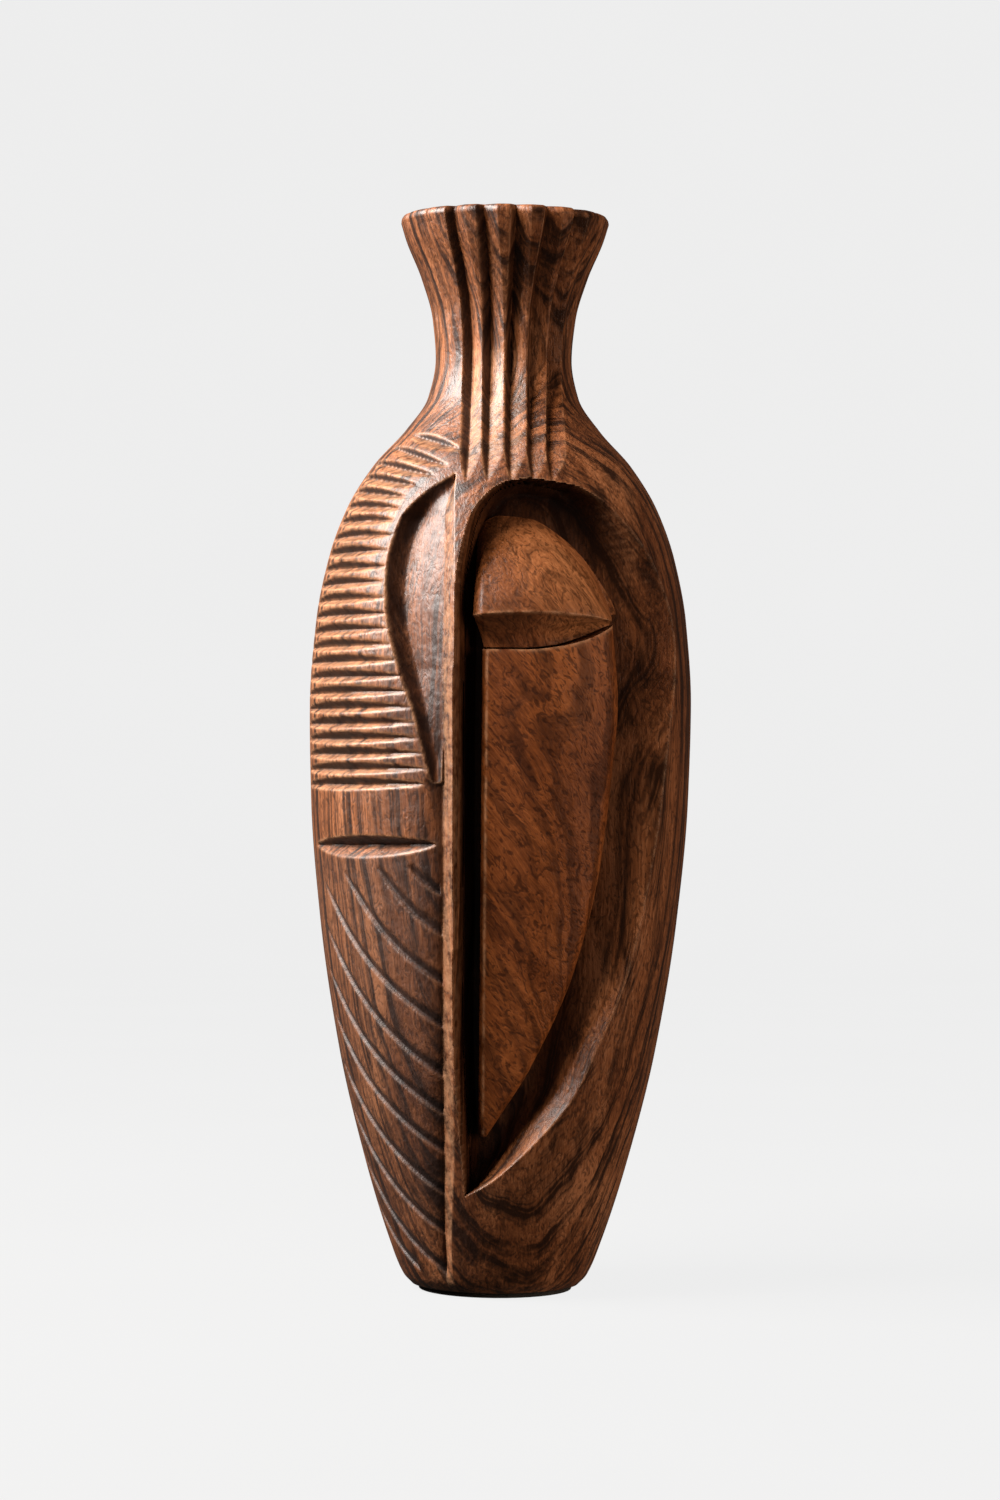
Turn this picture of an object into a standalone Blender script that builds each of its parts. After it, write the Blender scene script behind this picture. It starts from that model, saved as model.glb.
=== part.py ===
"""Carved wooden vase with an abstract half-and-half mask in relief.

Metres, +Z up, origin under the middle of the foot. The mask looks along -Y, and +X is on the viewer's right.
An angle round the vase is 0 at the front and positive towards +X.
The body is one turned block, hollowed from below and carved. The brow and cheek of the mask are blocks doweled
into a deep recess. A plug and a felt disc close the foot, and a metal water liner hangs in the neck.
"""

import math

import bmesh
import bpy
from mathutils import Matrix, Vector

# Driving dimensions.
HEIGHT = 0.450
GAP = 0.0003
FELT_THICKNESS = 0.002
FELT_RADIUS = 0.0325
FOOT_Z = FELT_THICKNESS + GAP

# Outer turned profile of the body, as (height, radius).
OUTER_PROFILE = [
    (FOOT_Z, 0.0350), (0.0060, 0.0385), (0.0200, 0.0444), (0.0540, 0.0551), (0.1000, 0.0663), (0.1550, 0.0749),
    (0.2050, 0.0792), (0.2450, 0.0801), (0.2800, 0.0777), (0.3060, 0.0727), (0.3270, 0.0652), (0.3450, 0.0542),
    (0.3600, 0.0408), (0.3740, 0.0316), (0.3900, 0.0286), (0.4070, 0.0301), (0.4240, 0.0349), (0.4400, 0.0415),
    (0.4475, 0.0438), (HEIGHT, 0.0422),
]
BELLY_ROWS = 15
NECK_ROWS = 11
TURNING_STEPS = 48

# The hollow: mouth funnel, the seat of the liner's lip, the neck bore, the belly and the rebate of the foot plug.
MOUTH_RADIUS = 0.0372
SEAT_Z = 0.4142
SEAT_RADIUS = 0.0232
BORE_RADIUS = 0.0195
BORE_END_Z = 0.3550
BELLY_PROFILE = [(0.3000, 0.0300), (0.2500, 0.0400), (0.2000, 0.0420), (0.1200, 0.0360), (0.0500, 0.0270)]
PLUG_RADIUS = 0.0305
PLUG_THICKNESS = 0.010
FOOT_HOLE_RADIUS = 0.0265

# Flutes of the neck: V cuts that run straight down from the waist. The front ones are deep and reach the mask.
FLUTE_COUNT = 19
FLUTE_PHASE = math.radians(6.5)
FLUTE_DEPTH = 0.0036
FLUTE_TANS = (0.75, 1.15)
SIDE_FLUTE_DEPTH = 0.0011
SIDE_FLUTE_TANS = (2.2, 2.6)
WAIST_Z = 0.392
FRONT_FLUTE_END_Z = 0.3355
FRONT_FLUTE_REACH = math.radians(50)
SIDE_FLUTE_END_Z = 0.3700

# Ribbed band down the left side, as (rib, left angle, left height, right angle, right height).
RIB_COUNT = 24
RIB_STATIONS = [
    (0, -80.0, 0.2107, -21.5, 0.2120), (5, -81.0, 0.2422, -26.8, 0.2428), (8, -83.0, 0.2615, -32.5, 0.2618),
    (11, -81.0, 0.2806, -38.2, 0.2809), (14, -81.5, 0.3004, -40.6, 0.3000), (17, -78.4, 0.3205, -40.4, 0.3190),
    (19, -77.4, 0.3337, -38.4, 0.3285), (20, -75.4, 0.3397, -34.5, 0.3330), (21, -70.0, 0.3455, -29.0, 0.3372),
    (22, -61.0, 0.3514, -24.5, 0.3412), (23, -50.0, 0.3560, -21.0, 0.3482),
]
RIB_DEPTH = 0.0026
RIB_TANS = (0.55, 0.95)

# The closed eye cut across the left half, as (angle, height) of its ends.
SLIT_LEFT = (-77.0, 0.1864)
SLIT_RIGHT = (-17.6, 0.1880)
SLIT_DEPTH = 0.0062
SLIT_TANS = (0.85, 0.65)

# Leaf veins on the lower left, as (left angle, left height, right angle, right height).
VEINS = [
    (-28.0, 0.1786, -18.9, 0.1686), (-39.8, 0.1782, -18.9, 0.1521), (-55.7, 0.1763, -20.0, 0.1330),
    (-71.2, 0.1728, -20.0, 0.1147), (-73.7, 0.1546, -21.4, 0.0947), (-78.0, 0.1374, -22.4, 0.0792),
    (-80.0, 0.1190, -23.5, 0.0630), (-82.0, 0.1000, -26.1, 0.0458), (-84.0, 0.0800, -28.9, 0.0290),
    (-84.0, 0.0580, -32.8, 0.0125), (-84.0, 0.0370, -52.0, 0.0125),
]
VEIN_DEPTH = 0.0013
VEIN_TAN = 1.1

# Flank of the nose: a one-sided V beside the crest, as (height, across) of its foot line.
FLANK_FOOT = [(0.0100, -0.0206), (0.0640, -0.0224), (0.1250, -0.0232), (0.2100, -0.0236), (0.3000, -0.0242),
              (0.3380, -0.0215)]
FLANK_DEPTH = 0.0030
FLANK_TANS = (0.20, 1.45)

# Scooped left eye, as (height, angle) of its left edge; its right edge is the crest of the nose.
SCOOP_LEFT = [(0.2125, -20.6), (0.2219, -22.4), (0.2420, -26.6), (0.2621, -32.6), (0.2824, -37.5), (0.3029, -39.4),
              (0.3193, -37.5), (0.3307, -29.7), (0.3380, -19.4)]
CREST_ANGLE = [(0.0100, -25.3), (0.0640, -17.1), (0.1250, -14.7), (0.2060, -13.5), (0.2700, -13.9), (0.3060, -15.2),
               (0.3380, -18.7)]
SCOOP_DEPTH = 0.0105
SCOOP_FOOT = 0.16
SCOOP_Z = (0.2128, 0.3376)

# Recess of the right half, as (height, angle in degrees) up its left edge and up its right edge.
RECESS_Z = (0.0443, 0.3362)
RECESS_LEFT = [(0.0441, -13.9), (0.1050, -14.6), (0.1660, -13.6), (0.2640, -13.9), (0.2947, -14.2), (0.3090, -12.9),
               (0.3208, -10.7), (0.3283, -6.6), (0.3342, 0.6), (0.3363, 10.6)]
RECESS_RIGHT = [(0.0441, -13.9), (0.0503, -2.1), (0.0694, 18.2), (0.0844, 29.4), (0.1030, 36.9), (0.1362, 47.4),
                (0.1786, 53.9), (0.2339, 60.4), (0.2720, 66.0), (0.2993, 59.4), (0.3206, 45.7), (0.3330, 30.9),
                (0.3363, 10.6)]
RECESS_DEPTH_RATIO = 0.30
STEEP_WALL = 0.0015
COVE_WIDTH = [(0.0441, 0.006), (0.0694, 0.013), (0.1030, 0.021), (0.2000, 0.024), (0.2900, 0.024), (0.3206, 0.014),
              (0.3330, 0.006), (0.3363, 0.003)]

# Line of the right eye, as (angle, height): the brow's undercut ends on it, and the cheek's top edge starts.
EYE_LINE = [(-10.0, 0.2675), (8.0, 0.2675), (20.0, 0.2689), (31.3, 0.2724), (40.4, 0.2770), (47.0, 0.2792)]
EYE_BASE_Z = 0.2675
EYE_GAP = 0.0009

# Cheek block: left edge, right edge by height, and its face as a share of the radius below the surface.
CHEEK_LEFT_X = -0.0056
CHEEK_RIGHT = [(0.0685, -0.0040), (0.0800, 0.0034), (0.0964, 0.0134), (0.1372, 0.0313), (0.1779, 0.0411),
               (0.2185, 0.0460), (0.2400, 0.0479), (0.2780, 0.0452)]
CHEEK_LIFT_Z = 0.200
CHEEK_FACE_RATIO = 0.115
CHEEK_SIDE_SPREAD = math.radians(3)

# Brow block: lower edge and domed upper edge across the block, and how far its face lies below the surface.
BROW_LEFT_X = -0.0114
BROW_TOP_LEFT_X = -0.0098
BROW_FOOT_LEFT_X = -0.0078
BROW_RIGHT_X = 0.0450
BROW_EDGE_Z = [(-0.0120, 0.2803), (0.0000, 0.2812), (0.0156, 0.2816), (0.0359, 0.2806), (0.0452, 0.2790)]
BROW_DOME_Z = [(-0.0120, 0.3080), (-0.0090, 0.3175), (-0.0009, 0.3214), (0.0113, 0.3203), (0.0235, 0.3136),
               (0.0358, 0.3017), (0.0433, 0.2876), (0.0452, 0.2815)]
BROW_EDGE_DEPTH = [(-0.0120, 0.0090), (-0.0074, 0.0050), (0.0150, 0.0050), (0.0350, 0.0072), (0.0452, 0.0092)]
BROW_STEP = 0.0030
BROW_LEAST_THICKNESS = 0.0015
BROW_UNDERCUT = 0.0095
BROW_UNDERCUT_SHARE = 0.3
BROW_SAG = 1.6

# Glue line behind the brow and cheek blocks.
BLOCK_CLEARANCE = 0.0014

# Dowels, as (angle, height), each half in its block and half in the body.
DOWEL_RADIUS = 0.0030
DOWEL_LENGTH = 0.0140
BROW_DOWELS = [(4.0, 0.2960), (22.0, 0.2900)]
CHEEK_DOWELS = [(12.0, 0.2350), (12.0, 0.1350)]

# Liner tube, with a rolled lip that sits on the seat in the mouth.
LINER_RADIUS = 0.0180
LINER_WALL = 0.0008
LINER_LENGTH = 0.300
LINER_LIP_RADIUS = 0.0222
LINER_LIP_HEIGHT = 0.0024
LINER_CORNER = 0.0030

WOOD = (0.235, 0.105, 0.050, 1.0)
PALE_WOOD = (0.560, 0.400, 0.250, 1.0)
FELT_GREEN = (0.030, 0.045, 0.035, 1.0)
ZINC = (0.560, 0.570, 0.580, 1.0)


def smooth_through(stations):
    """A smooth function through (x, y) stations that never overshoots between them."""
    xs = [station[0] for station in stations]
    ys = [station[1] for station in stations]
    rises = [(ys[i + 1] - ys[i]) / (xs[i + 1] - xs[i]) for i in range(len(xs) - 1)]
    slopes = [rises[0]]
    for before, after in zip(rises, rises[1:]):
        slopes.append(0.0 if before * after <= 0 else 2 * before * after / (before + after))
    slopes.append(rises[-1])

    def value(x):
        x = min(max(x, xs[0]), xs[-1])
        i = next((k for k in range(len(xs) - 2) if x <= xs[k + 1]), len(xs) - 2)
        span = xs[i + 1] - xs[i]
        t = (x - xs[i]) / span
        return (
            (1 + 2 * t) * (1 - t) ** 2 * ys[i]
            + t * (1 - t) ** 2 * span * slopes[i]
            + t * t * (3 - 2 * t) * ys[i + 1]
            + t * t * (t - 1) * span * slopes[i + 1]
        )

    return value


outer_radius = smooth_through(OUTER_PROFILE)
crest_angle = smooth_through(CREST_ANGLE)
scoop_left = smooth_through(SCOOP_LEFT)
recess_left = smooth_through(RECESS_LEFT)
recess_right = smooth_through(RECESS_RIGHT)
cove_width = smooth_through(COVE_WIDTH)
cheek_right = smooth_through(CHEEK_RIGHT)
eye_line = smooth_through(EYE_LINE)
brow_edge_z = smooth_through(BROW_EDGE_Z)
brow_dome_z = smooth_through(BROW_DOME_Z)
brow_edge_depth = smooth_through(BROW_EDGE_DEPTH)


def spread(start, end, count):
    """count values from start to end."""
    return [start + (end - start) * i / (count - 1) for i in range(count)]


def at(angle, z, depth=0.0):
    """The point at this angle (radians) and height, this far below the turned surface, measured level."""
    radius = outer_radius(z) - depth
    return Vector((radius * math.sin(angle), -radius * math.cos(angle), z))


def outward(angle, z):
    """The turned surface's outward normal."""
    step = 0.0005
    slope = (outer_radius(z + step) - outer_radius(z - step)) / (2 * step)
    return Vector((math.sin(angle), -math.cos(angle), -slope)).normalized()


def recess_outline():
    """The recess's edge, as (point, width of the wall there), all the way round."""
    heights = spread(RECESS_Z[0], RECESS_Z[1], 90)
    left = [(at(math.radians(recess_left(z)), z), STEEP_WALL) for z in heights]
    right = [(at(math.radians(recess_right(z)), z), cove_width(z)) for z in heights]
    return left + right


RECESS_OUTLINE = recess_outline()


def recess_depth(angle, z):
    """How deep the recess is cut: steep at the left and the top, and a wide cove at the right and the bottom."""
    point = at(angle, z)
    nearest = min((point - edge).length / width for edge, width in RECESS_OUTLINE)
    return RECESS_DEPTH_RATIO * outer_radius(z) * math.sin(math.pi / 2 * min(nearest, 1.0))


def new_object(name, mesh, collection, material=None):
    obj = bpy.data.objects.new(name, mesh)
    collection.objects.link(obj)
    if material:
        mesh.materials.append(material)
    return obj


def new_material(name, color, roughness, metallic=0.0):
    material = bpy.data.materials.new(name)
    material.use_nodes = True
    shader = material.node_tree.nodes["Principled BSDF"]
    shader.inputs["Base Color"].default_value = color
    shader.inputs["Roughness"].default_value = roughness
    shader.inputs["Metallic"].default_value = metallic
    return material


def turned(name, outline, base_z, collection, steps, material, closed=False):
    """A solid turned round +Z from an outline of (radius, height above base_z) that runs down its outer side.

    An open outline starts and ends on the axis; a closed one makes a hollow piece.
    """
    mesh = bpy.data.meshes.new(name)
    points = [(radius, 0.0, z) for radius, z in outline]
    edges = [(i, (i + 1) % len(points)) for i in range(len(points) if closed else len(points) - 1)]
    mesh.from_pydata(points, edges, [])
    obj = new_object(name, mesh, collection, material)
    obj.location.z = base_z
    screw = obj.modifiers.new("turn", "SCREW")
    screw.steps = screw.render_steps = steps
    screw.use_merge_vertices = True
    screw.merge_threshold = 0.00001
    return obj


def skin(bm, rows):
    """Faces between rows of vertices, each row a closed ring."""
    for lower, upper in zip(rows, rows[1:]):
        count = len(lower)
        for i in range(count):
            j = (i + 1) % count
            bm.faces.new((lower[i], lower[j], upper[j], upper[i]))


def loft(bm, sections):
    """A closed solid through rings of points, capped at both ends."""
    rings = [[bm.verts.new(point) for point in section] for section in sections]
    skin(bm, rings)
    bm.faces.new(reversed(rings[0]))
    bm.faces.new(rings[-1])


def slab(bm, sections):
    """A closed solid through rings that run out along one face and back along the other, so its ends can be ruled."""
    rings = [[bm.verts.new(point) for point in section] for section in sections]
    skin(bm, rings)
    last = len(rings[0]) - 1
    for ring, turn in ((rings[0], -1), (rings[-1], 1)):
        for i in range(last // 2):
            corners = (ring[i], ring[i + 1], ring[last - i - 1], ring[last - i])
            bm.faces.new(corners[::turn])


def v_groove(bm, path, tans, lift=0.0016):
    """A cutter for a V cut that follows path, a list of (angle, z, depth); tans open its two sides.

    Where the depth runs below zero the cutter has left the wood, so that the cut ends in a point.
    Seen from outside, with the start of the path at the top, the first side is on the left.
    """
    points = [at(angle, z) for angle, z, _ in path]
    sections = []
    for i, (angle, z, depth) in enumerate(path):
        ahead = points[min(i + 1, len(path) - 1)] - points[max(i - 1, 0)]
        normal = outward(angle, z)
        across = normal.cross(ahead).normalized()
        reach = max(depth + lift, 0.0004)
        lip = points[i] + normal * lift
        apex = lip - normal * reach
        sections.append([lip - across * tans[0] * reach, apex, lip + across * tans[1] * reach])
    loft(bm, sections)


def cutter_object(name, build, cutters):
    """A cutter made by build(bm), kept out of the render."""
    bm = bmesh.new()
    build(bm)
    bmesh.ops.recalc_face_normals(bm, faces=bm.faces[:])
    mesh = bpy.data.meshes.new(name)
    bm.to_mesh(mesh)
    bm.free()
    obj = new_object(name, mesh, cutters)
    obj.hide_render = True
    obj.display_type = "WIRE"
    return obj


def cut(obj, cutter):
    boolean = obj.modifiers.new("cut " + cutter.name, "BOOLEAN")
    boolean.operation = "DIFFERENCE"
    boolean.solver = "EXACT"
    boolean.object = cutter


def body_loop():
    """The body's section: down the outside, then up the hollow."""
    rows = [FOOT_Z, 0.0060] + spread(0.0200, 0.3300, BELLY_ROWS) + spread(0.3400, 0.4400, NECK_ROWS)
    rows += [0.4475, HEIGHT]
    outside = [(outer_radius(z), z) for z in reversed(rows)]
    belly = smooth_through(sorted([(BORE_END_Z, BORE_RADIUS)] + BELLY_PROFILE))
    plug_top = FOOT_Z + PLUG_THICKNESS + GAP
    inside = [(PLUG_RADIUS, FOOT_Z), (PLUG_RADIUS, plug_top), (FOOT_HOLE_RADIUS, plug_top)]
    inside += [(belly(z), z) for z in spread(BELLY_PROFILE[-1][0], BORE_END_Z, 9)]
    inside += [
        (BORE_RADIUS, SEAT_Z), (SEAT_RADIUS, SEAT_Z), (SEAT_RADIUS, SEAT_Z + 0.0035), (0.0262, 0.4260),
        (0.0325, 0.4400), (MOUTH_RADIUS - 0.0008, 0.4490), (MOUTH_RADIUS, HEIGHT),
    ]
    return outside + inside


def flutes(bm):
    """V cuts all round the neck. Below the waist the front ones keep their place across the face."""
    for i in range(FLUTE_COUNT):
        angle = (FLUTE_PHASE + 2 * math.pi * i / FLUTE_COUNT + math.pi) % (2 * math.pi) - math.pi
        front = abs(angle) < FRONT_FLUTE_REACH
        end_z = FRONT_FLUTE_END_Z if front else SIDE_FLUTE_END_Z
        full = FLUTE_DEPTH if front else SIDE_FLUTE_DEPTH
        across = outer_radius(WAIST_Z) * math.sin(angle)
        path = []
        for z in [0.4530, 0.4475, 0.4320, 0.4150, WAIST_Z, 0.3800, 0.3700, 0.3600, 0.3500]:
            if z <= end_z + 0.0060:
                break
            turn = math.asin(across / outer_radius(z)) if front and z < WAIST_Z else angle
            path.append((turn, z, full))
        for z, depth in ((end_z + 0.0060, full), (end_z, 0.0), (end_z - 0.0015, -0.0010)):
            turn = math.asin(across / outer_radius(z)) if front else angle
            path.append((turn, z, depth))
        v_groove(bm, path, FLUTE_TANS if front else SIDE_FLUTE_TANS, lift=0.0016 if front else 0.0006)


def lens_path(left, right, depth, count=7, overrun=0.06):
    """A path from left to right, each (angle in degrees, z), deepest in the middle and pointed at both ends."""
    path = []
    for t in spread(-overrun, 1 + overrun, count):
        angle = math.radians(left[0] + (right[0] - left[0]) * t)
        path.append((angle, left[1] + (right[1] - left[1]) * t, depth * (1 - (2 * t - 1) ** 2)))
    return path


def ribs(bm):
    """Scalloped cuts of the band down the left side."""
    left_angle, left_z, right_angle, right_z = (
        smooth_through([(station[0], station[i]) for station in RIB_STATIONS]) for i in (1, 2, 3, 4)
    )
    for rib in range(RIB_COUNT):
        path = lens_path((left_angle(rib), left_z(rib)), (right_angle(rib), right_z(rib)), RIB_DEPTH)
        v_groove(bm, path, RIB_TANS)


def slit(bm):
    v_groove(bm, lens_path(SLIT_LEFT, SLIT_RIGHT, SLIT_DEPTH, count=11, overrun=0.03), SLIT_TANS)


def veins(bm):
    """Shallow cuts that slant down towards the nose."""
    for left_angle, left_z, right_angle, right_z in VEINS:
        path = []
        for t in spread(-0.04, 1.04, 6):
            angle = math.radians(left_angle + (right_angle - left_angle) * t)
            path.append((angle, left_z + (right_z - left_z) * t, VEIN_DEPTH * min(1.0, 6 * t, 6 * (1 - t))))
        v_groove(bm, path, (VEIN_TAN, VEIN_TAN), lift=0.0010)


def flank(bm):
    """The left side of the nose: it falls from the crest to a foot line, where the lower panel stands proud."""
    foot_x = smooth_through(FLANK_FOOT)
    path = []
    for z in spread(0.3350, 0.0145, 22):
        path.append((math.asin(foot_x(z) / outer_radius(z)), z, FLANK_DEPTH))
    path.append((math.asin(foot_x(0.0100) / outer_radius(0.0100)), 0.0100, -0.0002))
    v_groove(bm, path, FLANK_TANS, lift=0.0008)


def carved_slab(bm, rows, columns, place, over=0.006):
    """A cutter whose inner face is place(u, v) -> (angle, z, depth), and whose outer face clears the surface."""
    rings = []
    for v in spread(0, 1, rows):
        inner = [place(u, v) for u in spread(0, 1, columns)]
        ring = [at(angle, z, depth) for angle, z, depth in inner]
        ring += [at(angle, z, -over) for angle, z, _ in reversed(inner)]
        rings.append(ring)
    slab(bm, rings)


def scoop(bm):
    """The hollow of the left eye: a wall at the left, then a floor that rises to the crest of the nose."""

    def place(u, v):
        z = SCOOP_Z[0] + (SCOOP_Z[1] - SCOOP_Z[0]) * v
        left = math.radians(scoop_left(z))
        right = math.radians(crest_angle(z))
        fullness = min(1.0, (right - left) / math.radians(22))
        wall = min(1.0, u / SCOOP_FOOT)
        floor = math.cos(math.pi / 2 * max(0.0, (u - SCOOP_FOOT) / (1 - SCOOP_FOOT))) ** 0.9
        return left + (right - left) * u, z, SCOOP_DEPTH * fullness * wall * floor - 0.00005

    carved_slab(bm, 15, 9, place)


def recess(bm):
    """The deep hollow of the right half."""

    def place(u, v):
        eased = 0.5 - 0.5 * math.cos(math.pi * v)
        z = RECESS_Z[0] + (RECESS_Z[1] - RECESS_Z[0]) * eased
        left = math.radians(recess_left(z))
        right = math.radians(recess_right(z))
        inset = STEEP_WALL / outer_radius(z) / max(right - left, 0.01)
        across = (0.0, min(inset, 0.08), 0.12, 0.24, 0.36, 0.48, 0.60, 0.70, 0.79, 0.87, 0.94, 1.0)[round(u * 11)]
        angle = left + (right - left) * across
        return angle, z, recess_depth(angle, z)

    carved_slab(bm, 25, 12, place)


def dowel_frame(angle_degrees, z):
    """The middle and the direction of a dowel on the recess floor."""
    angle = math.radians(angle_degrees)
    floor = at(angle, z, recess_depth(angle, z))
    direction = Vector((math.sin(angle), -math.cos(angle), 0.0))
    return floor, direction


def dowel_mesh(name, place, radius, length):
    """A round dowel across the recess floor."""
    floor, direction = dowel_frame(*place)
    bm = bmesh.new()
    bmesh.ops.create_cone(
        bm, cap_ends=True, segments=20, radius1=radius, radius2=radius, depth=length,
        matrix=Matrix.Translation(floor) @ direction.to_track_quat("Z", "Y").to_matrix().to_4x4(),
    )
    mesh = bpy.data.meshes.new(name)
    bm.to_mesh(mesh)
    bm.free()
    return mesh


def dowel_hole(name, place, cutters):
    hole = new_object(name, dowel_mesh(name, place, DOWEL_RADIUS + GAP, DOWEL_LENGTH + 2 * GAP), cutters)
    hole.hide_render = True
    hole.display_type = "WIRE"
    return hole


def block(name, front, back, rows, columns, collection, material):
    """A relief block between two carved faces, each face(u, v) -> point."""
    bm = bmesh.new()
    rings = []
    for v in spread(0, 1, rows):
        ring = [front(u, v) for u in spread(0, 1, columns)]
        ring += [back(u, v) for u in spread(1, 0, columns)]
        rings.append(ring)
    slab(bm, rings)
    bmesh.ops.recalc_face_normals(bm, faces=bm.faces[:])
    mesh = bpy.data.meshes.new(name)
    bm.to_mesh(mesh)
    bm.free()
    obj = new_object(name, mesh, collection, material)
    obj.data.shade_smooth()
    obj.data.set_sharp_from_angle(angle=math.radians(30))
    return obj


def angle_across(x, z, depth):
    """The angle of the point this far across the face and below the turned surface."""
    return math.asin(max(-1.0, min(1.0, x / (outer_radius(z) - depth))))


def cheek_point(u, v, turn=0.0):
    """The angle and height of a point of the cheek, turned on its way down to the floor. Its rows meet the eye."""
    low, high = CHEEK_RIGHT[0][0], EYE_BASE_Z - EYE_GAP
    row = low + (high - low) * v
    x = CHEEK_LEFT_X + (cheek_right(row) - CHEEK_LEFT_X) * u
    angle = angle_across(x, row, CHEEK_FACE_RATIO * outer_radius(row)) + turn
    lift = max(0.0, (row - CHEEK_LIFT_Z) / (high - CHEEK_LIFT_Z)) ** 2
    return angle, row + (eye_line(math.degrees(angle)) - EYE_BASE_Z) * lift


def cheek_front(u, v):
    angle, z = cheek_point(u, v)
    return at(angle, z, CHEEK_FACE_RATIO * outer_radius(z))


def cheek_back(u, v):
    angle, z = cheek_point(u, v, CHEEK_SIDE_SPREAD * (2 * u - 1))
    return at(angle, z, recess_depth(angle, z) - BLOCK_CLEARANCE)


def brow_face(u, v):
    """The angle, height and depth of the brow's face, and below it of the undercut over the eye."""
    down = max(0.0, 1 - v / BROW_UNDERCUT_SHARE)
    up = max(0.0, (v - BROW_UNDERCUT_SHARE) / (1 - BROW_UNDERCUT_SHARE))
    left = BROW_LEFT_X + (BROW_FOOT_LEFT_X - BROW_LEFT_X) * down + (BROW_TOP_LEFT_X - BROW_LEFT_X) * up
    x = left + (BROW_RIGHT_X - left) * u
    edge, dome = brow_edge_z(x), brow_dome_z(x)
    depth = brow_edge_depth(x)
    if down > 0:
        angle = angle_across(x, edge, depth)
        opening = edge - eye_line(math.degrees(angle))
        z = edge - opening * down
        depth += BROW_UNDERCUT * math.sin(math.pi / 2 * down) * min(1.0, opening / BROW_UNDERCUT)
    else:
        z = edge + (dome - edge) * up
        full = RECESS_DEPTH_RATIO * outer_radius(z) - BROW_STEP
        depth += max(0.0, full - depth) * up**BROW_SAG
        angle = angle_across(x, z, depth)
    return angle, z, min(depth, recess_depth(angle, z) - BLOCK_CLEARANCE - BROW_LEAST_THICKNESS)


def brow_front(u, v):
    return at(*brow_face(u, v))


def brow_back(u, v):
    angle, z, _ = brow_face(u, v)
    return at(angle, z, recess_depth(angle, z) - BLOCK_CLEARANCE)


def plug_outline():
    radius, edge = PLUG_RADIUS - GAP, 0.001
    return [(0.0, PLUG_THICKNESS), (radius - edge, PLUG_THICKNESS), (radius, PLUG_THICKNESS - edge), (radius, 0.0),
            (0.0, 0.0)]


def felt_outline():
    edge = 0.0005
    return [(0.0, FELT_THICKNESS), (FELT_RADIUS - edge, FELT_THICKNESS), (FELT_RADIUS, FELT_THICKNESS / 2),
            (FELT_RADIUS - edge, 0.0), (0.0, 0.0)]


def liner_outline():
    """The tube, with height 0 at the underside of its lip: up the inside, over the lip and down the outside."""
    bottom = LINER_LIP_HEIGHT - LINER_LENGTH
    floor = bottom + LINER_WALL
    inner = LINER_RADIUS - LINER_WALL
    middle = LINER_LIP_HEIGHT / 2
    edge = 0.0010
    return [
        (0.0, floor), (inner - LINER_CORNER, floor), (inner, floor + LINER_CORNER), (inner, middle),
        (inner + edge, LINER_LIP_HEIGHT), (LINER_LIP_RADIUS - edge, LINER_LIP_HEIGHT), (LINER_LIP_RADIUS, middle),
        (LINER_LIP_RADIUS - edge, 0.0), (LINER_RADIUS, 0.0), (LINER_RADIUS, bottom + LINER_CORNER),
        (LINER_RADIUS - LINER_CORNER, bottom), (0.0, bottom),
    ]


def build():
    for obj in list(bpy.data.objects):
        bpy.data.objects.remove(obj)
    parts = bpy.data.collections.new("carved_vase")
    cutters = bpy.data.collections.new("cutters")
    for collection in (parts, cutters):
        bpy.context.scene.collection.children.link(collection)

    wood = new_material("carved_wood", WOOD, 0.42)
    pale_wood = new_material("dowel_wood", PALE_WOOD, 0.60)
    felt = new_material("felt", FELT_GREEN, 0.95)
    zinc = new_material("zinc", ZINC, 0.38, metallic=1.0)

    body = turned("carved_body", body_loop(), 0.0, parts, TURNING_STEPS, wood, closed=True)
    for name, shape in (
        ("recess_cutter", recess), ("scoop_cutter", scoop), ("flank_cutter", flank), ("flute_cutter", flutes),
        ("rib_cutter", ribs), ("slit_cutter", slit), ("vein_cutter", veins),
    ):
        cut(body, cutter_object(name, shape, cutters))

    cheek = block("cheek_block", cheek_front, cheek_back, 15, 8, parts, wood)
    brow = block("brow_block", brow_front, brow_back, 13, 10, parts, wood)
    for blocked, owner, places in (("brow", brow, BROW_DOWELS), ("cheek", cheek, CHEEK_DOWELS)):
        for label, place in zip(("upper", "lower"), places):
            hole = dowel_hole(f"{blocked}_hole_{label}", place, cutters)
            cut(body, hole)
            cut(owner, hole)
            name = f"{blocked}_dowel_{label}"
            new_object(name, dowel_mesh(name, place, DOWEL_RADIUS, DOWEL_LENGTH), parts, pale_wood)

    turned("foot_plug", plug_outline(), FOOT_Z, parts, 40, wood)
    turned("felt_disc", felt_outline(), 0.0, parts, 40, felt)
    turned("water_liner", liner_outline(), SEAT_Z + GAP, parts, 32, zinc)


build()
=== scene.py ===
"""The carved mask vase with its fine carved surface and dark figured wood, in a plain pale studio.

Metres, +Z up, and the mask looks along -Y. An angle round the vase is 0 at the front and positive towards +X.
The carving is a depth below the turned surface, worked out on a grid of angles and heights.
"""

import math

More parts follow.
